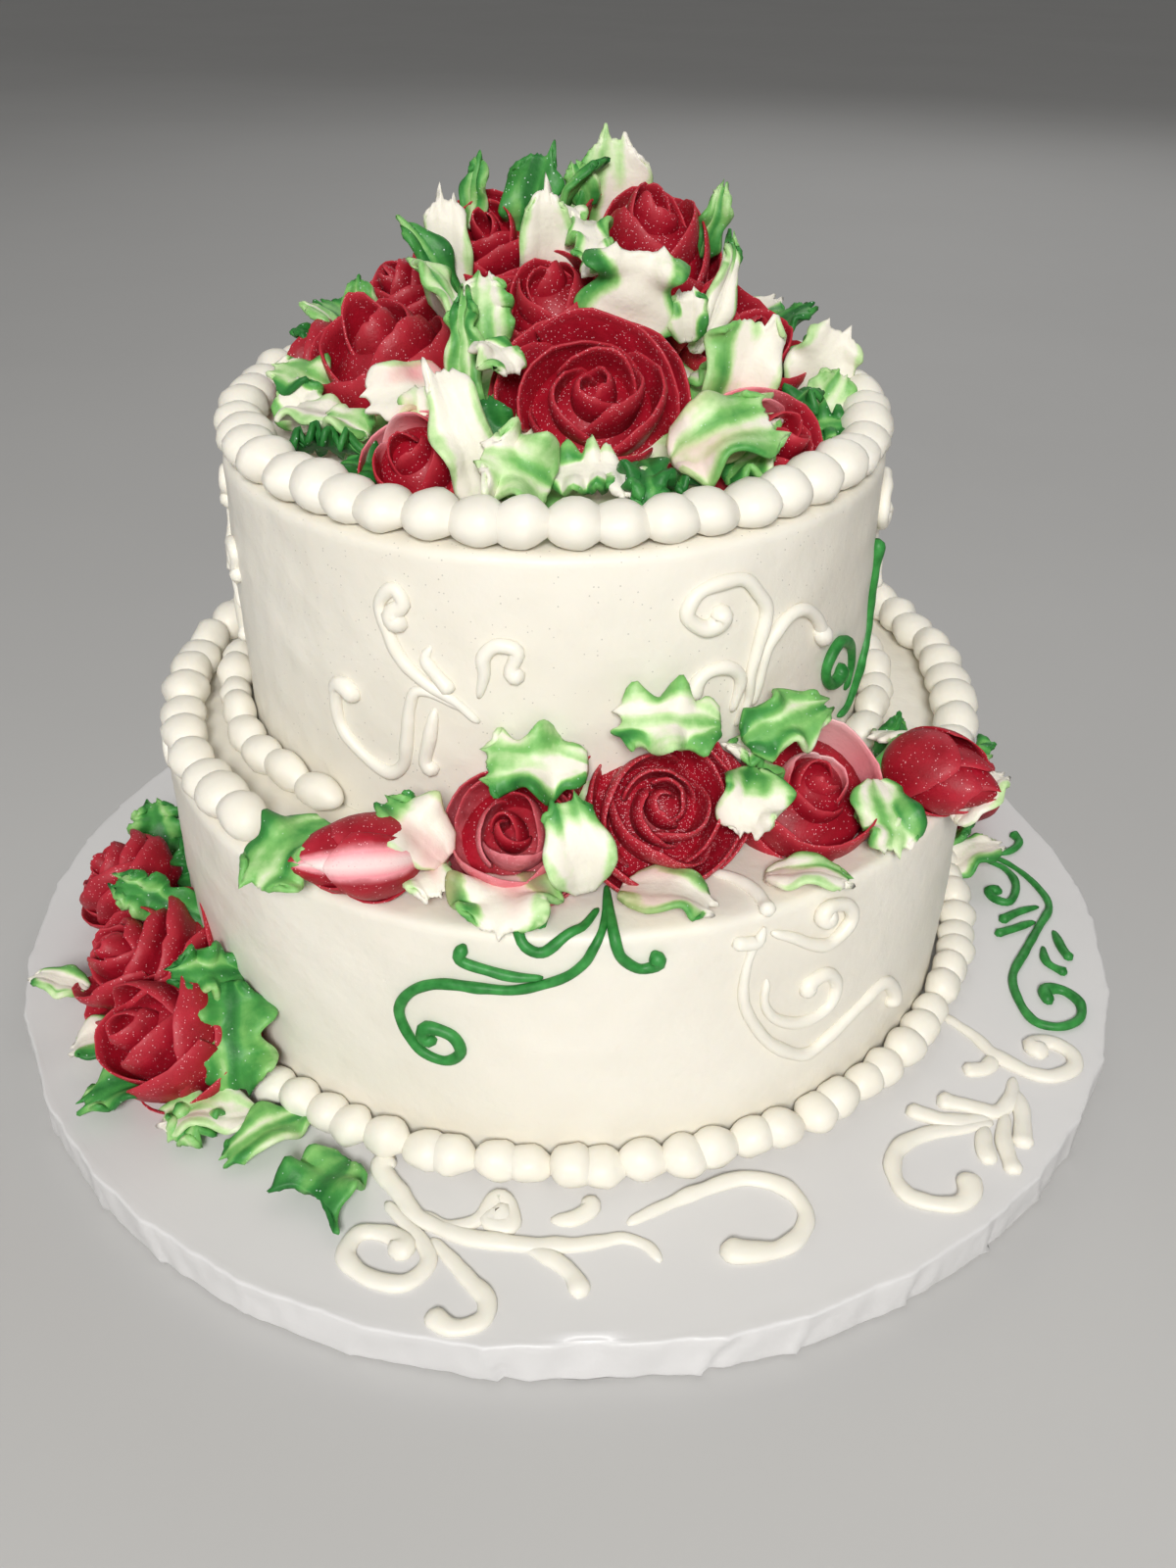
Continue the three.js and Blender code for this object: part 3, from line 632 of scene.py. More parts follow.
DRUM_FRONT = [
    ([(-41, -101), (-43, -105), (-38, -112), (-34, -118), (-29, -121), (-22, -124), (-16, -125),
      (-8, -126), (1, -126), (7, -125), (12, -124), (17, -126), (20, -130)], "start"),
    ([(-17, -116), (-15, -118), (-18, -119.5), (-13, -121), (-13, -116), (-16, -113), (-20, -119),
      (-26, -121), (-33, -117)], "start"),
    ([(-38, -129), (-36, -126), (-40, -123), (-46, -123), (-48, -129), (-43, -134), (-36, -136),
      (-32, -134), (-30, -130), (-32, -125), (-38, -118), (-41, -114)], "start"),
    ([(-29, -143), (-24, -146.5), (-18, -145), (-17, -140), (-21, -135), (-25, -130),
      (-30, -124)], "start"),
    ([(-10, -126), (-3, -130), (1, -134), (3, -139)], "end"),
    ([(4, -113), (5, -116), (1, -119), (-4, -119)], "start"),
    ([(13, -120), (22, -115), (30, -111), (40, -107.5), (49, -110), (53, -117), (51, -123), (46, -127),
      (38, -128), (33, -127)], "end"),
]
DRUM_RIGHT = [
    ([(98, -52), (102, -57), (105, -61), (108, -67), (112, -71), (116, -74), (121, -75), (127, -72),
      (128, -67), (124, -63), (119, -64), (121, -68)], "end"),
    ([(108, -67), (105, -72), (99, -73)], "end"),
    ([(111, -75), (108, -83), (103, -87), (97, -85), (90, -83)], "end"),
    ([(102, -89), (92, -90), (86, -88), (82, -86)], "end"),
    ([(102, -90), (95, -92), (85, -94), (78, -98), (75, -104), (76, -111), (80, -114), (87, -115),
      (91, -112), (92, -106)], "end"),
    ([(110, -79), (110, -86), (107, -98)], "end"),
    ([(106, -87), (103, -96), (103, -106)], "end"),
    ([(100, -91), (98, -97), (98, -103)], "end"),
]
DRUM_GREEN = [
    ([(123, 20), (129, 19), (135, 13), (139, 4), (140, -6), (134, -16), (127, -27), (121, -37),
      (120, -47), (122, -55), (128, -57), (134, -54), (136, -48), (133, -43), (128, -43),
      (128, -48)], "end"),
    ([(128, 21), (135, 21), (140, 26), (139, 31)], "end"),
    ([(127, 17), (132, 12), (133, 4), (129, -4), (125, -3), (124, 1), (128, 1)], "end"),
    ([(137, -6), (130, -9), (124, -13)], "end"),
    ([(134, -13), (128, -16), (121, -19)], "end"),
    ([(138, -17), (138, -25), (139, -30)], "end"),
    ([(133, -24), (132, -31), (136, -36)], "end"),
]
UPPER_SETS = ((UPPER_WHITE, 0), (UPPER_WHITE[:5], -62), (UPPER_WHITE[5:], 55), (UPPER_WHITE[5:], 152))
LOWER_SETS = ((LOWER_WHITE, 0), (LOWER_WHITE[:1], -115), (LOWER_WHITE[:3], 150))
OVER_EDGE = [
    (top_knots(LOWER, (8, -84), (7.5, -93), (6.6, -100)) + side_knots(
        LOWER, (2.6, 76), (1.5, 72), (-1, 68), (-6, 64.5), (-10, 64), (-15, 63.5), (-18.5, 60), (-20.5, 54),
        (-20, 48), (-18, 42.5), (-15, 41), (-13, 44.5), (-14, 49), (-17, 50), (-17.5, 47), (-16, 46)), "end"),
    (top_knots(LOWER, (8, -85), (8.4, -93), (9, -100)) + side_knots(
        LOWER, (5.3, 76), (6, 73), (8, 70), (10, 71), (9.5, 74)), "end"),
    (top_knots(LOWER, (6, -92), (3, -98), (0, -100.6)) + side_knots(
        LOWER, (-3, 75.2), (-5, 76.6)) + top_knots(
            LOWER, (-10.8, -99.5), (-10.5, -97), (-7.4, -96), (-5.6, -98.5)), "end"),
]
WHITE_GIRTH, GREEN_GIRTH, BROAD_GIRTH = 4.0, 3.1, 5.3


def on_sides(tier, *sets):
    return [(side_knots(tier, *knots, turned_by=turn), blob) for lines, turn in sets for knots, blob in lines]


def on_tops(tier, lines):
    return [(top_knots(tier, *knots), blob) for knots, blob in lines]


scrolls("upper_white_scroll", PIPED, "icing", "upper_tier", WHITE_GIRTH, on_sides(UPPER, *UPPER_SETS))
scrolls("upper_green_scroll", GREEN_LINE, "leaves", "upper_tier", GREEN_GIRTH + 0.6,
        on_sides(UPPER, (UPPER_GREEN, 0)))
scrolls("lower_white_scroll", PIPED, "icing", "lower_tier", WHITE_GIRTH,
        on_sides(LOWER, *LOWER_SETS) + on_tops(LOWER, LEDGE_WHITE))
scrolls("lower_green_scroll", GREEN_LINE, "leaves", "lower_tier", GREEN_GIRTH,
        OVER_EDGE + on_sides(LOWER, (LOWER_GREEN, 0)))
scrolls("drum_white_scroll", PIPED, "icing", "board", BROAD_GIRTH,
        on_tops(DRUM, DRUM_FRONT + DRUM_RIGHT), tall=0.6)
scrolls("drum_green_scroll", GREEN_LINE, "leaves", "board", GREEN_GIRTH, on_tops(DRUM, DRUM_GREEN))


# Roses: thin petals piped in rings round a core. Each ring is the number of its petals, half the turn
# that one spans, its foot, belly and rim as (radius, height along the facing direction), its lip, which
# is how far a rim rolls outward, and its droop, which is how much lower a petal is at its sides.
# Lengths are shares of the rose's width, and a height of 0 is near the rim's level.


Kind = namedtuple("Kind", "core rings")
Ring = namedtuple("Ring", "petals spread foot belly rim lip droop", defaults=[0.4])

OPEN_ROSE = Kind(
    [(0.02, -0.8), (0.25, -0.78), (0.40, -0.52), (0.42, -0.38), (0.3, -0.26), (0.16, -0.15), (0.02, -0.1)], [
        Ring(2, 130, (0.05, -0.3), (0.15, -0.1), (0.06, 0.06), 0),
        Ring(3, 88, (0.08, -0.4), (0.27, -0.22), (0.15, 0.06), 0.03),
        Ring(3, 86, (0.12, -0.55), (0.41, -0.3), (0.26, 0.02), 0.06),
        Ring(3, 78, (0.15, -0.7), (0.50, -0.42), (0.37, -0.06), 0.08),
        Ring(4, 62, (0.17, -0.76), (0.52, -0.52), (0.45, -0.18), 0.09),
    ])
CUPPED_ROSE = Kind(
    [(0.02, -0.84), (0.25, -0.82), (0.45, -0.58), (0.46, -0.34), (0.36, -0.24), (0.02, -0.2)], [
        Ring(2, 130, (0.05, -0.4), (0.18, -0.1), (0.06, 0.12), 0),
        Ring(3, 92, (0.08, -0.5), (0.36, -0.25), (0.19, 0.09), 0.02),
        Ring(3, 88, (0.12, -0.65), (0.54, -0.38), (0.33, 0.04), 0.06),
        Ring(3, 88, (0.15, -0.8), (0.62, -0.46), (0.44, -0.06), 0.075, droop=0.3),
    ])
TALL_ROSE = Kind(
    [(0.02, -0.9), (0.25, -0.88), (0.43, -0.6), (0.44, -0.34), (0.36, -0.12), (0.2, 0.04), (0.02, 0.1)], [
        Ring(2, 125, (0.06, -0.4), (0.26, -0.1), (0.08, 0.28), 0.01),
        Ring(3, 92, (0.10, -0.6), (0.46, -0.3), (0.24, 0.22), 0.02),
        Ring(3, 90, (0.14, -0.8), (0.62, -0.4), (0.38, 0.1), 0.035),
        Ring(3, 84, (0.18, -0.9), (0.58, -0.66), (0.44, -0.14), 0.05, droop=0.26),
    ])
CHALICE_ROSE = Kind(
    [(0.02, -0.84), (0.25, -0.82), (0.46, -0.62), (0.49, -0.42), (0.45, -0.29), (0.26, -0.2),
     (0.14, -0.04), (0.02, 0.04)], [
        Ring(2, 120, (0.05, -0.4), (0.24, -0.2), (0.05, 0.12), 0),
        Ring(3, 88, (0.12, -0.5), (0.32, -0.3), (0.17, -0.02), 0.02),
        Ring(3, 100, (0.3, -0.84), (0.60, -0.5), (0.48, 0.03), 0.03, droop=0.12),
        Ring(3, 70, (0.2, -0.84), (0.62, -0.7), (0.48, -0.2), 0.03),
    ])
BUD = Kind(
    [(0.02, -1.12), (0.2, -1.1), (0.40, -0.82), (0.44, -0.5), (0.36, -0.12), (0.2, 0.18),
     (0.08, 0.30), (0.02, 0.34)], [
        Ring(2, 120, (0.12, -0.95), (0.60, -0.3), (0.06, 0.38), 0.01),
        Ring(3, 88, (0.16, -1.08), (0.68, -0.5), (0.22, 0.26), 0.015),
        Ring(3, 72, (0.18, -1.12), (0.72, -0.84), (0.40, -0.02), 0.02),
    ])

# Each rose is its kind, its place, the turn and lift it faces, its width, its own turn and its tints

ROSES = {
    "rose_front": (OPEN_ROSE, (5, -27, 170), (2, 46), 44, 200, dict(sparkle=0.9)),
    "rose_crown": (TALL_ROSE, (19, 39, 190), (14, 66), 36, 95, dict(sparkle=0.9)),
    "rose_crown_left": (CUPPED_ROSE, (-22, 42, 190), (-12, 58), 27, 40, {}),
    "rose_middle": (TALL_ROSE, (-6, 11, 181), (-30, 62), 26, 150, {}),
    "rose_left": (TALL_ROSE, (-47, 14, 167), (-50, 66), 38, 20, {}),
    "rose_left_back": (CUPPED_ROSE, (-49, 58, 173), (-62, 50), 26, 300, {}),
    "rose_far_left": (CUPPED_ROSE, (-70, 31, 160), (-98, 26), 20, 70, {}),
    "rose_right": (CUPPED_ROSE, (47, 27, 169), (58, 58), 36, 120, {}),
    "rose_low_left": (TALL_ROSE, (-34, -38, 157.5), (-20, 44), 27, 10, dict(pink=(315, 50, 1.3))),
    "rose_low_right": (TALL_ROSE, (45, -24, 157.5), (48, 42), 29, 220, dict(pink=(280, 70, 0.8))),
    "rose_back_right": (OPEN_ROSE, (28, 66, 170), (148, 44), 31, 30, {}),
    "rose_back_left": (OPEN_ROSE, (-14, 73, 169), (-168, 42), 31, 250, {}),
    "bud_ledge_left": (BUD, (-52, -88, 88), (-78, 2), 18, 320, dict(pink=(206, 19, 1.9))),
    "rose_ledge_left": (CUPPED_ROSE, (-13, -85, 94), (-12, 50), 29, 60, dict(pink=(90, 170, 0.52))),
    "rose_ledge_middle": (OPEN_ROSE, (21, -82, 99), (14, 44), 38, 340, dict(sparkle=2.4)),
    "rose_ledge_right": (CHALICE_ROSE, (56, -65, 94.5), (22, 54), 32, 250, dict(pink=(245, 80, 1.5))),
    "bud_ledge_right": (BUD, (92, -58, 88), (48, 4), 19, 80, {}),
    "rose_board_left_front": (TALL_ROSE, (-102, -78, 30), (-50, 40), 34, 130, {}),
    "rose_board_left": (OPEN_ROSE, (-117, -52, 35), (-78, 46), 40, 15, {}),
    "rose_board_left_back": (CUPPED_ROSE, (-129, -15, 33), (-92, 44), 28, 75, {}),
    "rose_board_right": (CUPPED_ROSE, (125, 40, 34), (104, 44), 30, 190, {}),
    "rose_board_right_back": (OPEN_ROSE, (112, 76, 30), (124, 46), 32, 280, {}),
}


def upright_to(direction):
    """The turn that takes straight up to a direction"""
    across = unit(np.cross(direction, UP) + (1e-6, 0, 0))
    return np.stack([across, np.cross(direction, across), direction], 1)


def petal(ring, turn, draw):
    """A petal's face as a grid of (x, y, height) in shares of the width, how near its rim, and the turn"""
    across = np.linspace(-1, 1, PETAL_COLUMNS)[None, :]
    rise = np.linspace(0, 1, PETAL_ROWS)[:, None] ** 0.85
    rim = np.array(ring.rim) * (1 + draw.uniform(-0.09, 0.1)) + (0, draw.uniform(-0.05, 0.035))
    lean = draw.uniform(-0.4, 0.4)
    top = 1 - ring.droop * np.abs(across - lean) ** 2.4
    top = top - 0.03 * (1 + np.sin(across * draw.uniform(3, 6) + draw.uniform(0, 6)))
    up = rise * np.clip(top, 0.25, 1)
    radius = (1 - up) ** 2 * ring.foot[0] + 2 * up * (1 - up) * ring.belly[0] + up ** 2 * rim[0]
    height = (1 - up) ** 2 * ring.foot[1] + 2 * up * (1 - up) * ring.belly[1] + up ** 2 * rim[1]
    roll = ease(rise, 0.62, 1) * (1 - 0.4 * np.abs(across))
    radius = radius + ring.lip * roll + draw.uniform(0.02, 0.06) * across * up
    radius = radius + 0.025 * np.sin(across * draw.uniform(2, 4) + draw.uniform(0, 6)) * up ** 2
    height = height - 0.35 * ring.lip * roll
    frayed = draw.normal(0, 0.005, across.shape) + 0.005 * np.sin(across * 17 + draw.uniform(0, 6))
    height = height + frayed * ease(rise, 0.85, 1)
    angle = np.radians(turn + ring.spread * across * (0.8 + 0.2 * rise))
    grid = np.stack([radius * np.cos(angle), radius * np.sin(angle), height + 0 * angle], -1)
    return grid, ease(rise, 0.86, 1) + 0 * across, np.degrees(angle)


def rose(name, kind, place, direction, width, spin, pink=(0, 60, 0), sparkle=0.45):
    """A rose. Pink is the side that white icing ran in on, how far round it reaches, and how much"""
    draw = np.random.default_rng(sum(map(ord, name)))
    turn = upright_to(facing(*direction))
    icing = Icing()

    def placed(grid):
        return grid * width @ turn.T + place

    around = np.radians(turns_round(CORE_SIDES))
    core = [np.stack([r * np.cos(around), r * np.sin(around), h + 0 * around], -1)
            for r, h in filled_in([np.array(corner) for corner in kind.core], 0.12)]
    icing.rings(placed(np.array(core)), edge=0.0, blush=0.0, sparkle=sparkle)
    for number, ring in enumerate(kind.rings):
        start = spin + 47 * number
        for k in range(ring.petals):
            turned_to = start + 360 * k / ring.petals + draw.uniform(-14, 14)
            grid, rim, angle = petal(ring, turned_to, draw)
            away = (angle - pink[0] + 180) % 360 - 180
            outer = number > 0 or kind is BUD
            patch = pink[2] * np.exp(-(away / pink[1]) ** 2) * outer * draw.uniform(0.75, 1)
            thick = width * (0.030 - 0.019 * rim) + 0.1
            # The edge tint lightens each rim, partly for thin icing and partly as a painted highlight
            icing.sheet(placed(grid), thick, edge=rim, blush=patch, sparkle=sparkle * (0.5 + 0.5 * rim))
    icing.piece(name + "_petals", ROSE_RED, "roses", name)


for name, (kind, place, direction, width, spin, tints) in ROSES.items():
    rose(name, kind, place, direction, width, spin, **tints)


# Leaves: thin sheets with ruffled sides and torn tips. Each is foot, tip, width, roll, how green and
# white icing share it, and what sets it apart. Teeth are (place across, length) of the torn tip.
# A green share is 0 for white and 1 for dark green, at a place from -1 to 1 across and 0 to 1 along.

GREEN_SHARES = {
    "green": lambda across, along: 0.78,
    "dark": lambda across, along: 0.98,
    "mid": lambda across, along: 0.55,
    "pale": lambda across, along: 0.24 + 0.14 * np.abs(across),
    "white": lambda across, along: 0.0,
    "edges": lambda across, along: 0.62 * ease(np.abs(across), 0.55, 0.95),
    "rims": lambda across, along: 0.22 + 0.45 * ease(np.abs(across - 0.2), 0.5, 0.9),
    "left": lambda across, along: 0.48 * ease(-across + 0.25 * along, -0.35, 0.9),
    "right": lambda across, along: 0.48 * ease(across + 0.25 * along, -0.35, 0.9),
    "tip": lambda across, along: 0.7 * ease(along, 0.55, 0.9),
    "foot": lambda across, along: 0.7 * ease(1 - along, 0.45, 0.85),
}
TORN = ((-0.35, 1.0), (0.4, 0.96))
POINTED = ((0.05, 1.0),)
JAGGED = ((-0.55, 0.95), (0.0, 1.0), (0.6, 0.93))
BLUNT = ((-0.5, 0.95), (0.5, 0.96))


def leaf(icing, foot, tip, width, roll, share, teeth=TORN, ruffles=1.5, frill=0.16, fold=0.25, end=0.55,
         curl=0.0, bow=0.1, pink=0.0, torn=0.88):
    """A leaf with ruffled sides. Frill says how far they wave: over 0.25 they also meander in and out"""
    draw = np.random.default_rng(int(abs(foot[0] * 7 + foot[1] * 13 + tip[2] * 17)))
    foot, tip = np.array(foot, float), np.array(tip, float)
    run = tip - foot
    length = np.linalg.norm(run)
    along_way = run / length
    steep = abs(along_way[2]) > 0.8
    side = unit(np.cross(along_way, (0, 1, 0) if steep else (0, 0, 1)))
    bend = math.radians(roll)
    side = side * math.cos(bend) + np.cross(along_way, side) * math.sin(bend)
    face = np.cross(side, along_way)
    if face @ np.array([0, -1, 0.6]) < 0:
        side, face = -side, -face

    across = np.linspace(-1, 1, LEAF_COLUMNS)[None, :]
    along = np.linspace(0, 1, LEAF_ROWS)[:, None]
    left = across < 0
    phase = draw.uniform(0, 6, 6)
    ragged = torn + draw.normal(0, 0.007, across.shape) - 0.08 * across ** 4
    spikes = np.max([size - 0.62 * np.abs(across - where) for where, size in teeth], axis=0)
    up = along * (1 - (1 - np.clip(np.maximum(spikes, ragged), 0.6, 1.02)) * along ** 4)

    fullness = [0.45, 0.84, 1, 0.92, (end + 1) / 2, end]
    half = np.interp(along, [0, 0.12, 0.3, 0.6, 0.85, 1], fullness) * width / 2
    turns = 2 * np.pi * ruffles * (along + 0.07 * np.sin(5 * along + phase[4]))
    turns = turns + np.where(left, phase[0], phase[1])
    meander = 0.05 + 0.8 * min(max(0, frill - 0.22), 0.2)
    broken = 1 + 0.05 * np.sin(along * draw.uniform(11, 16) + np.where(left, phase[2], phase[5]))
    out = across * half * (1 + meander * np.sin(turns) * np.abs(across)) * broken ** (across ** 2)

    wave = np.sin(turns + phase[2]) + 0.35 * np.sin(1.7 * turns + phase[3])
    calm_ends = np.sqrt(np.sin(np.pi * np.clip(along, 0.04, 0.9)))
    lift = frill * width / 2 * wave * np.abs(across) ** 1.7 * calm_ends
    lift = lift + fold * half * np.abs(across) ** 1.1 + bow * length * np.sin(np.pi * up)
    lift = lift + 0.14 * np.cos(across * 9.4) + 0.25 * draw.normal(0, 1, (1, 1)) * np.sin(across * 3.1)
    flat = np.stack([out, up * length, 0 * out], -1)
    lift = lift + curl * length * up ** 3 + 0.25 * unevenness(flat, 9, 3)
    grid = foot + along_way * (up * length)[..., None] + side * out[..., None] + face * lift[..., None]

    wander = across + 0.22 * np.sin(5.5 * along + phase[4]) + 0.12 * np.sin(4 * across + 9 * along + phase[0])
    shown = GREEN_SHARES[share](wander, along)
    drawn = 0.16 * np.sin(across * 4.5 + phase[3] + 2 * along) + 0.12 * np.sin(across * 9 - along + phase[5])
    drawn = drawn + 0.12 * np.sin(along * 5 + phase[5])
    seam = 0.3 * ease(np.abs(across) + 0.15 * np.sin(along * 6 + phase[4]), 0.75, 1)
    green = np.clip(shown + drawn * np.clip(shown * 6, 0.15, 1) + seam * (shown < 0.3), 0, 1)
    blush = pink * ease(1 - along + 0.3 * np.sin(across * 4 + phase[1]), 0.3, 1.0)
    edge = np.maximum(np.abs(across) ** 4, ease(along, 0.8, 1))
    icing.sheet(grid, 2.4 - 1.1 * edge, green=green, pink=blush)


LEAVES = {
    "leaf_crown_back": ((8, 56, 178), (10, 50, 212.5), 20, 10, "left", dict(
        teeth=((-0.35, 1), (0.45, 0.96)), end=0.6)),
    "leaf_crown_left": ((-12, 54, 174), (-7, 46, 209), 15, -20, "green", dict(
        teeth=((0.5, 1),), end=0.7, frill=0.34, ruffles=1.8)),
    "leaf_crown_middle": ((-7, 27, 176), (-7, 19, 205), 13, 12, "white", dict(teeth=((0.2, 1),), end=0.5)),
    "leaf_left_tall": ((-31, 38, 168), (-31, 36, 200), 12, 0, "white", dict(
        teeth=((-0.3, 1), (0.5, 0.93)), end=0.7)),
    "leaf_left_twisted": ((-29, 30, 174), (-43, 30, 194), 8, 40, "green", dict(
        teeth=POINTED, end=0.2, frill=0.4)),
    "leaf_left_ribbon": ((-22, -14, 158), (-24, -6, 187), 8, -15, "mid", dict(
        end=0.5, frill=0.42, ruffles=2)),
    "leaf_above_front": ((12, 3, 172), (15, 2, 195), 22, 0, "edges", dict(
        teeth=BLUNT, end=0.9, curl=0.15, frill=0.42, ruffles=1.2, fold=0.1)),
    "leaf_right_twisted": ((29, 10, 168), (38, 24, 193), 7, 30, "tip", dict(end=0.3, frill=0.42, fold=0.5)),
    "leaf_right_broad": ((35, -7, 156), (40, -6, 182), 18, 10, "left", dict(
        teeth=((0.75, 1), (-0.6, 0.86)), end=0.8, fold=0.3, frill=0.28)),
    "leaf_right_edge": ((58, 24, 152), (67, 24, 171), 17, 0, "white", dict(
        teeth=((-0.6, 0.97), (0.3, 1)), end=0.8)),
    "leaf_low_right": ((22, -40, 158), (44, -34, 166), 18, 30, "pale", dict(
        teeth=((-0.7, 0.96), (0.1, 0.85), (0.8, 1)), end=0.8, pink=0.3, frill=0.34, ruffles=1.6)),
    "leaf_low_left": ((-19, -46, 151), (-29, -37, 179), 12, 25, "white", dict(
        teeth=((-0.6, 1), (0.3, 0.88)), end=0.6, frill=0.3)),
    "leaf_pink_left": ((-28, -11, 164), (-47, -20, 163), 15, -35, "white", dict(pink=0.8, end=0.8)),
    "leaf_far_left": ((-58, 8, 155), (-73, 8, 163), 16, -15, "rims", dict(frill=0.38)),
    "leaf_front_ruffled": ((-5, -50, 156), (-20, -49, 163), 18, -45, "pale", dict(
        ruffles=1.8, frill=0.45, teeth=BLUNT)),
    "leaf_ledge_far_left": ((-53, -75, 88), (-67, -92, 81), 19, 0, "mid", dict(
        teeth=((0.6, 1), (-0.6, 0.85)), frill=0.32)),
    "leaf_ledge_bud": ((-27, -86, 87), (-41, -78, 97), 15, -20, "tip", dict(pink=0.45, frill=0.35)),
    "leaf_ledge_behind_left": ((3, -75, 103), (-20, -74, 103), 14, -40, "rims", dict(
        ruffles=2.1, frill=0.42, teeth=BLUNT, end=0.9, fold=0.15)),
    "leaf_ledge_left_middle": ((3, -91, 83), (-2, -85, 104), 13, 15, "tip", dict(
        teeth=BLUNT, end=0.8, frill=0.34, ruffles=1.3, bow=0.15)),
    "leaf_ledge_front_left": ((-13, -88, 83), (-15, -105, 80.5), 22, 0, "edges", dict(
        teeth=((-0.1, 1), (0.8, 0.85)), pink=0.5, frill=0.25)),
    "leaf_ledge_behind_middle": ((31, -72, 112), (8, -73, 113), 14, -40, "rims", dict(
        ruffles=2.2, frill=0.42, end=0.85, fold=0.15)),
    "leaf_ledge_behind_right": ((38, -68, 106), (58, -57, 109), 13, 40, "mid", dict(
        ruffles=1.8, frill=0.42, fold=0.15)),
    "leaf_ledge_right_middle": ((40, -71, 100), (38, -83, 90), 14, 0, "foot", dict(
        end=0.7, frill=0.5, ruffles=1.3, bow=0.2)),
    "leaf_ledge_front_middle": ((11, -91, 82), (31, -96, 81), 15, 0, "edges", dict(end=0.7, pink=0.3)),
    "leaf_ledge_right": ((69, -60, 90), (73, -76, 80.5), 14, 0, "rims", dict(
        teeth=JAGGED, end=0.8, frill=0.35)),
    "leaf_board_left_upper": ((-81, -64, 36), (-97, -72, 42), 13, -40, "green", dict(
        ruffles=2.2, frill=0.5, teeth=BLUNT)),
    "leaf_board_left_wall": ((-81, -70, 38), (-79, -87, 16), 17, 0, "green", dict(
        frill=0.42, teeth=BLUNT, end=0.8, ruffles=2)),
    "leaf_board_left_front": ((-75, -91, 15), (-98, -92, 14.4), 13, 0, "right", dict(
        teeth=BLUNT, end=0.8, frill=0.3)),
    "leaf_board_front_left": ((-63, -90, 13.8), (-80, -105, 13.6), 12, 0, "mid", dict(frill=0.34, end=0.6)),
    "leaf_board_front": ((-51, -104, 13.8), (-60, -120, 13.6), 18, 0, "green", dict(
        teeth=((-0.95, 1), (0.95, 0.92)), end=1.15, frill=0.28, torn=0.6)),
}
for name, (foot, tip, width, roll, share, style) in LEAVES.items():
    icing = Icing()
    leaf(icing, foot, tip, width, roll, share, **style)
    icing.piece(name + "_icing", LEAF_GREEN, "leaves", name)


# The smaller leaves that fill the gaps between the roses, grouped by where they lie

BLUNT_TIP, SQUARE_TIP = dict(teeth=BLUNT), dict(teeth=BLUNT, end=0.8)
NARROW_TIP = dict(teeth=POINTED, end=0.3)
SQUARE_AND_WAVY = dict(teeth=BLUNT, end=0.8, frill=0.3)
WAVY, RUFFLED = dict(frill=0.4), dict(ruffles=3, frill=0.4)
CRUMPLED = dict(ruffles=2.2, frill=0.45, teeth=BLUNT)


def small_leaves(name, *rows):
    icing = Icing()
    for foot, tip, width, roll, share, style in rows:
        leaf(icing, foot, tip, width, roll, share, **style)
    icing.piece(name, LEAF_GREEN, "leaves")


small_leaves(
    "crown_small_leaves",
    ((-3, 44, 192), (9, 44, 205), 9, 0, "green", {}),
    ((4, 46, 194), (0, 46, 204), 8, 0, "mid", {}),
    ((3, 30, 192), (5, 8, 187), 10, 0, "edges", dict(ruffles=2.2, frill=0.38, teeth=BLUNT, end=0.8)),
    ((-2, 30, 195), (1, 24, 194), 8, 0, "edges", {}),
    ((-26, 48, 188), (-23, 48, 206), 6, 0, "mid", dict(teeth=POINTED, end=0.3, frill=0.4)),
    ((-26, 0, 176), (-39, 16, 187), 8, 20, "pale", dict(end=0.3, frill=0.45)),
    ((-19, -8, 172), (-20, 0, 188), 12, 0, "pale", dict(ruffles=2.5, frill=0.3)),
    ((-20, -18, 176), (-13, -25, 171), 11, 0, "edges", SQUARE_AND_WAVY),
    ((33, 46, 182), (38, 46, 200), 7, 0, "mid", dict(end=0.4, frill=0.4)),
    ((27, 4, 172), (26, 4, 184), 9, 0, "edges", SQUARE_TIP),
    ((12, 8, 188), (3, 2, 186), 11, 20, "edges", SQUARE_AND_WAVY),
)
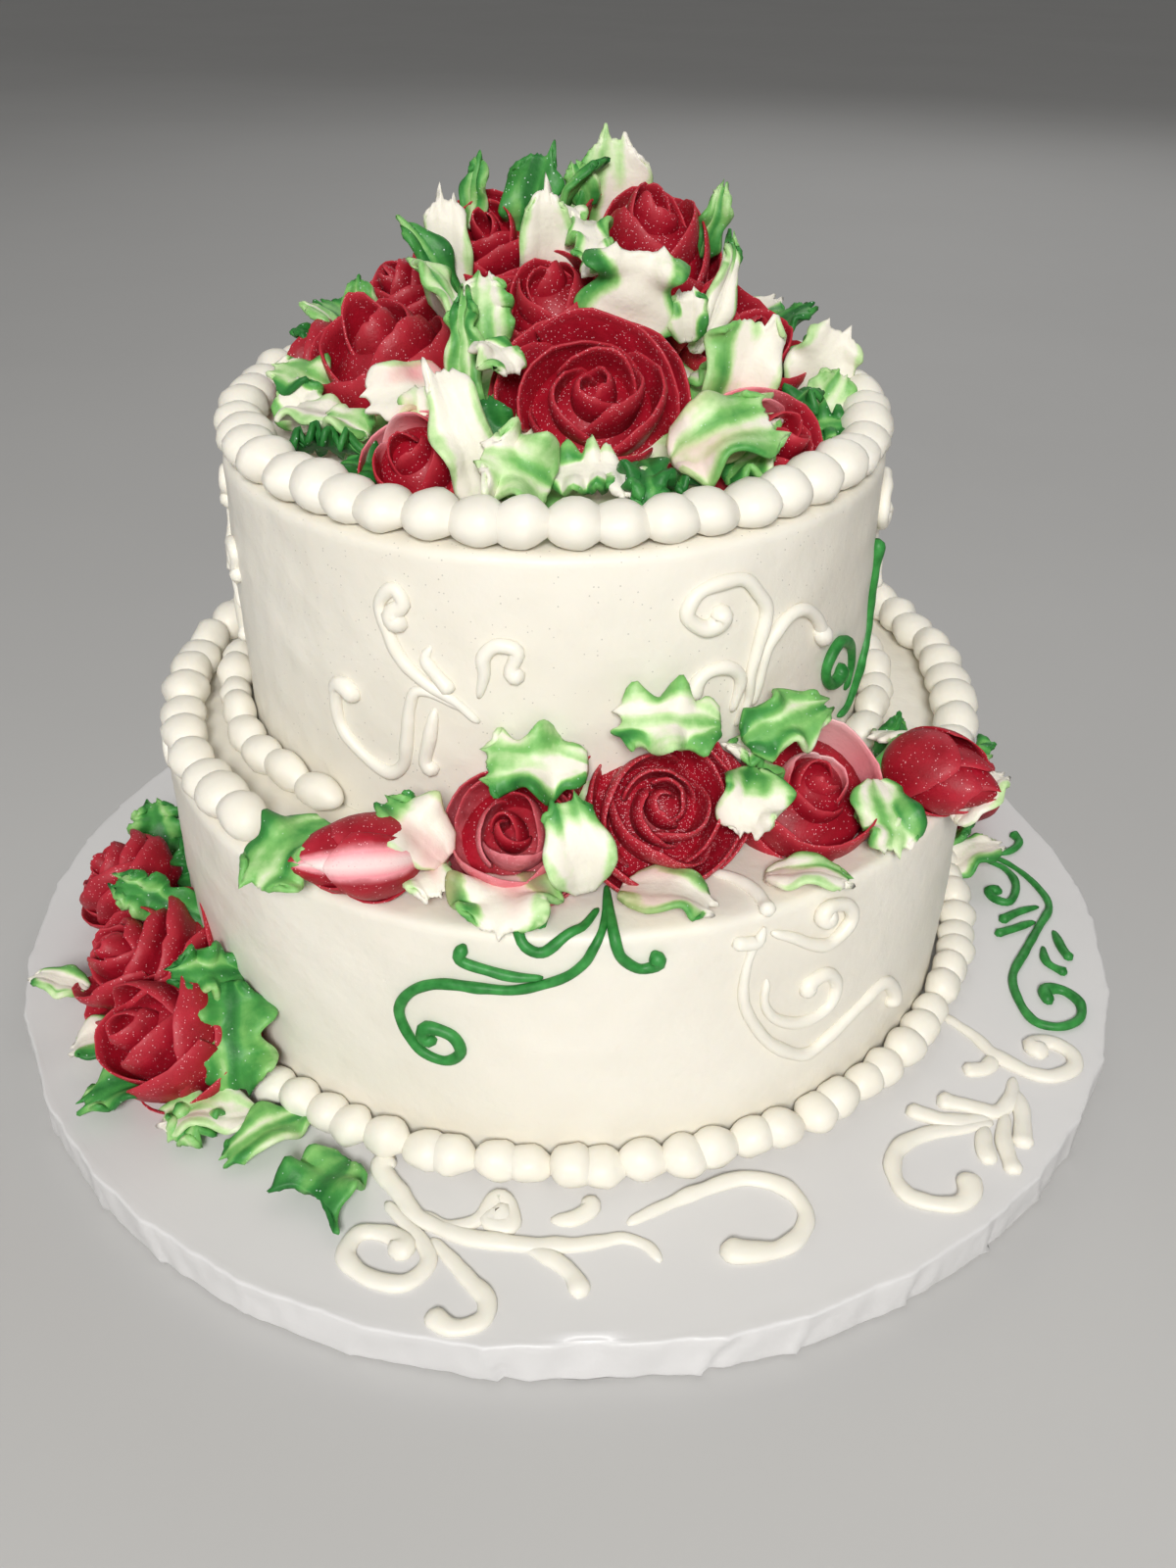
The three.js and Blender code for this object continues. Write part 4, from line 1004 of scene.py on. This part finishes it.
small_leaves(
    "top_small_leaves",
    ((50, 0, 153), (60, 4, 160), 11, 0, "dark", dict(ruffles=2.2, frill=0.45)),
    ((52, -4, 152), (67, -3, 153), 10, 30, "green", RUFFLED),
    ((-58, 34, 158), (-69, 36, 172), 10, 0, "pale", {}),
    ((-62, 30, 162), (-71, 30, 166), 9, 0, "dark", {}),
    ((-54, 40, 165), (-54, 40, 178), 9, 0, "mid", NARROW_TIP),
    ((-46, -22, 153), (-66, -22, 153), 11, 30, "dark", dict(ruffles=4, frill=0.5, teeth=BLUNT)),
    ((-50, -30, 153), (-40, -36, 151.5), 10, 20, "dark", CRUMPLED),
    ((-4, -45, 156), (12, -46, 157), 12, 30, "edges", dict(ruffles=3, frill=0.35, teeth=BLUNT)),
    ((15, -42, 158), (16, -57, 154), 10, 0, "dark", CRUMPLED),
    ((11, -42, 157), (12, -53, 154), 10, 0, "white", BLUNT_TIP),
    ((20, -42, 153), (30, -39, 154), 8, 0, "dark", WAVY),
    ((-52, -12, 156), (-68, -8, 156), 15, 0, "white", dict(teeth=BLUNT, end=0.9)),
    ((-46, -20, 157), (-57, -15, 158), 12, 0, "pale", BLUNT_TIP),
    ((-18, -36, 158), (-19, -30, 169), 11, 0, "dark", dict(frill=0.4, teeth=BLUNT)),
    ((29, -34, 155), (47, -20, 161), 12, 0, "pale", dict(pink=0.4, teeth=BLUNT)),
    ((-9, -47, 153), (-14, -41, 163), 12, 0, "mid", dict(ruffles=2.2, frill=0.38, teeth=BLUNT)),
    ((34, -38, 153), (44, -32, 156), 12, 0, "mid", WAVY),
    ((-30, -24, 157), (-33, -18, 168), 14, 0, "pale", dict(pink=0.7, teeth=BLUNT)),
    ((60, 10, 152), (66, 14, 162), 13, 0, "pale", {}),
    ((-62, -2, 152), (-66, 4, 162), 13, 0, "edges", {}),
    ((30, 8, 162), (36, 2, 172), 13, 0, "pale", {}),
)
small_leaves(
    "back_small_leaves",
    ((8, 72, 154), (10, 86, 170), 17, 0, "left", {}),
    ((-30, 70, 154), (-38, 83, 168), 16, 0, "pale", {}),
    ((44, 56, 154), (57, 67, 167), 16, 0, "edges", {}),
    ((-2, 66, 168), (6, 76, 192), 15, 0, "white", {}),
    ((50, 44, 155), (64, 46, 170), 15, 0, "green", {}),
    ((-56, 50, 155), (-69, 58, 167), 15, 0, "green", {}),
    ((-46, 66, 154), (-54, 74, 163), 14, 0, "dark", RUFFLED),
    ((24, 72, 153), (32, 84, 160), 15, 0, "pale", RUFFLED),
    ((-10, 82, 153), (-14, 90, 158), 14, 0, "dark", RUFFLED),
    ((58, 24, 154), (68, 34, 166), 14, 0, "mid", {}),
    ((8, 60, 180), (18, 66, 196), 13, 0, "mid", {}),
    ((-20, 60, 174), (-26, 68, 190), 14, 0, "edges", {}),
)
small_leaves(
    "ledge_small_leaves",
    ((46, -62, 90), (33, -67, 104), 11, 0, "edges", dict(ruffles=2.5, frill=0.35)),
    ((43, -83, 80), (62, -85, 80), 11, 0, "left", dict(teeth=BLUNT, pink=0.3)),
    ((74, -52, 82), (83, -42, 93), 9, 0, "mid", {}),
    ((88, -36, 84), (72, -40, 89), 11, 20, "white", SQUARE_TIP),
    ((77, -34, 81), (80, -32, 93), 7, 0, "green", NARROW_TIP),
    ((94, -40, 82), (102, -42, 89), 8, 0, "green", WAVY),
    ((90, -60, 79.5), (102, -53, 88), 11, 0, "white", {}),
    ((-34, -80, 81), (-28, -96, 83), 12, 0, "white", dict(pink=0.8, teeth=BLUNT)),
    ((6, -72, 82), (4, -66, 98), 12, 0, "pale", dict(frill=0.3)),
    ((74, -62, 82), (66, -72, 84), 11, 0, "mid", dict(frill=0.3)),
)
small_leaves(
    "drum_small_leaves",
    ((-118, 2, 22), (-123, 15, 35), 14, 0, "green", RUFFLED),
    ((-94, -42, 33), (-121, -33, 42), 11, -40, "green", dict(ruffles=4, frill=0.5, teeth=BLUNT)),
    ((-93, -78, 15), (-118, -89, 14.5), 13, 0, "green", dict(frill=0.35)),
    ((-108, -66, 17), (-125, -70, 15), 14, 0, "edges", {}),
    ((-124, -55, 22), (-139, -53, 24), 10, 0, "edges", NARROW_TIP),
    ((-98, -20, 20), (-108, -8, 38), 13, 0, "dark", RUFFLED),
    ((-84, -88, 15), (-92, -100, 14.5), 12, 0, "mid", dict(ruffles=2.5, frill=0.4, teeth=BLUNT)),
    ((112, 24, 14), (121, 17, 27), 12, 0, "green", {}),
    ((104, 92, 14.5), (99, 107, 21), 14, 0, "green", {}),
    ((124, 60, 14.5), (139, 62, 23), 14, 0, "edges", {}),
    ((112, 8, 14), (131, 14, 20), 14, 0, "edges", {}),
    ((108, 50, 24), (112, 58, 40), 14, 0, "mid", {}),
)


# The table, the light and the camera

bpy.ops.mesh.primitive_plane_add(size=16, location=(0, 4, -0.0003))
table = bpy.context.object
table.name = "table"
table.data.materials.append(pale_table())


def standing(right, above, behind, place):
    """The matrix of a light or camera at a place, which looks away from what is behind it"""
    return Matrix(np.vstack([np.column_stack([right, above, behind, place]), (0, 0, 0, 1)]))


def softbox(name, place, aim, size, power, colour=(1, 1, 1)):
    light = bpy.data.lights.new(name, "AREA")
    light.energy, light.size, light.color = power, size, colour
    lamp = bpy.data.objects.new(name, light)
    away = unit(np.array(place, float) - aim)
    side = unit(np.cross((0, 0, 1), away))
    lamp.matrix_world = standing(side, np.cross(away, side), away, place)
    bpy.context.scene.collection.objects.link(lamp)


CAKE_MIDDLE = (0, 0, 0.09)
softbox("key_softbox", (-0.02, -1.05, 0.80), CAKE_MIDDLE, 0.3, 13.8, (1.0, 0.985, 0.965))
softbox("side_softbox", (-1.2, -0.2, 0.9), CAKE_MIDDLE, 1.2, 1.4)
softbox("back_softbox", (0.4, 1.3, 1.1), CAKE_MIDDLE, 1.2, 5)
world = bpy.data.worlds.new("soft_room")
world.use_nodes = True
glow = world.node_tree.nodes["Background"].inputs
glow["Color"].default_value, glow["Strength"].default_value = (1.0, 0.995, 0.98, 1), 0.2
bpy.context.scene.world = world
bpy.context.scene.view_settings.view_transform = "Standard"

PITCH, YAW, ROLL = math.radians(33.0), math.radians(0.87), math.radians(0.73)
ahead = np.array([math.sin(YAW) * math.cos(PITCH), math.cos(YAW) * math.cos(PITCH), -math.sin(PITCH)])
level = np.array([math.cos(YAW), -math.sin(YAW), 0])
upward = np.cross(level, ahead)
right = level * math.cos(ROLL) + upward * math.sin(ROLL)
above = upward * math.cos(ROLL) - level * math.sin(ROLL)
lens = bpy.data.cameras.new("camera")
lens.sensor_width, lens.lens = 36, 31.5
camera = bpy.data.objects.new("camera", lens)
camera.matrix_world = standing(right, above, -ahead, (0, -0.3217, 0.2593))
bpy.context.scene.collection.objects.link(camera)
bpy.context.scene.camera = camera
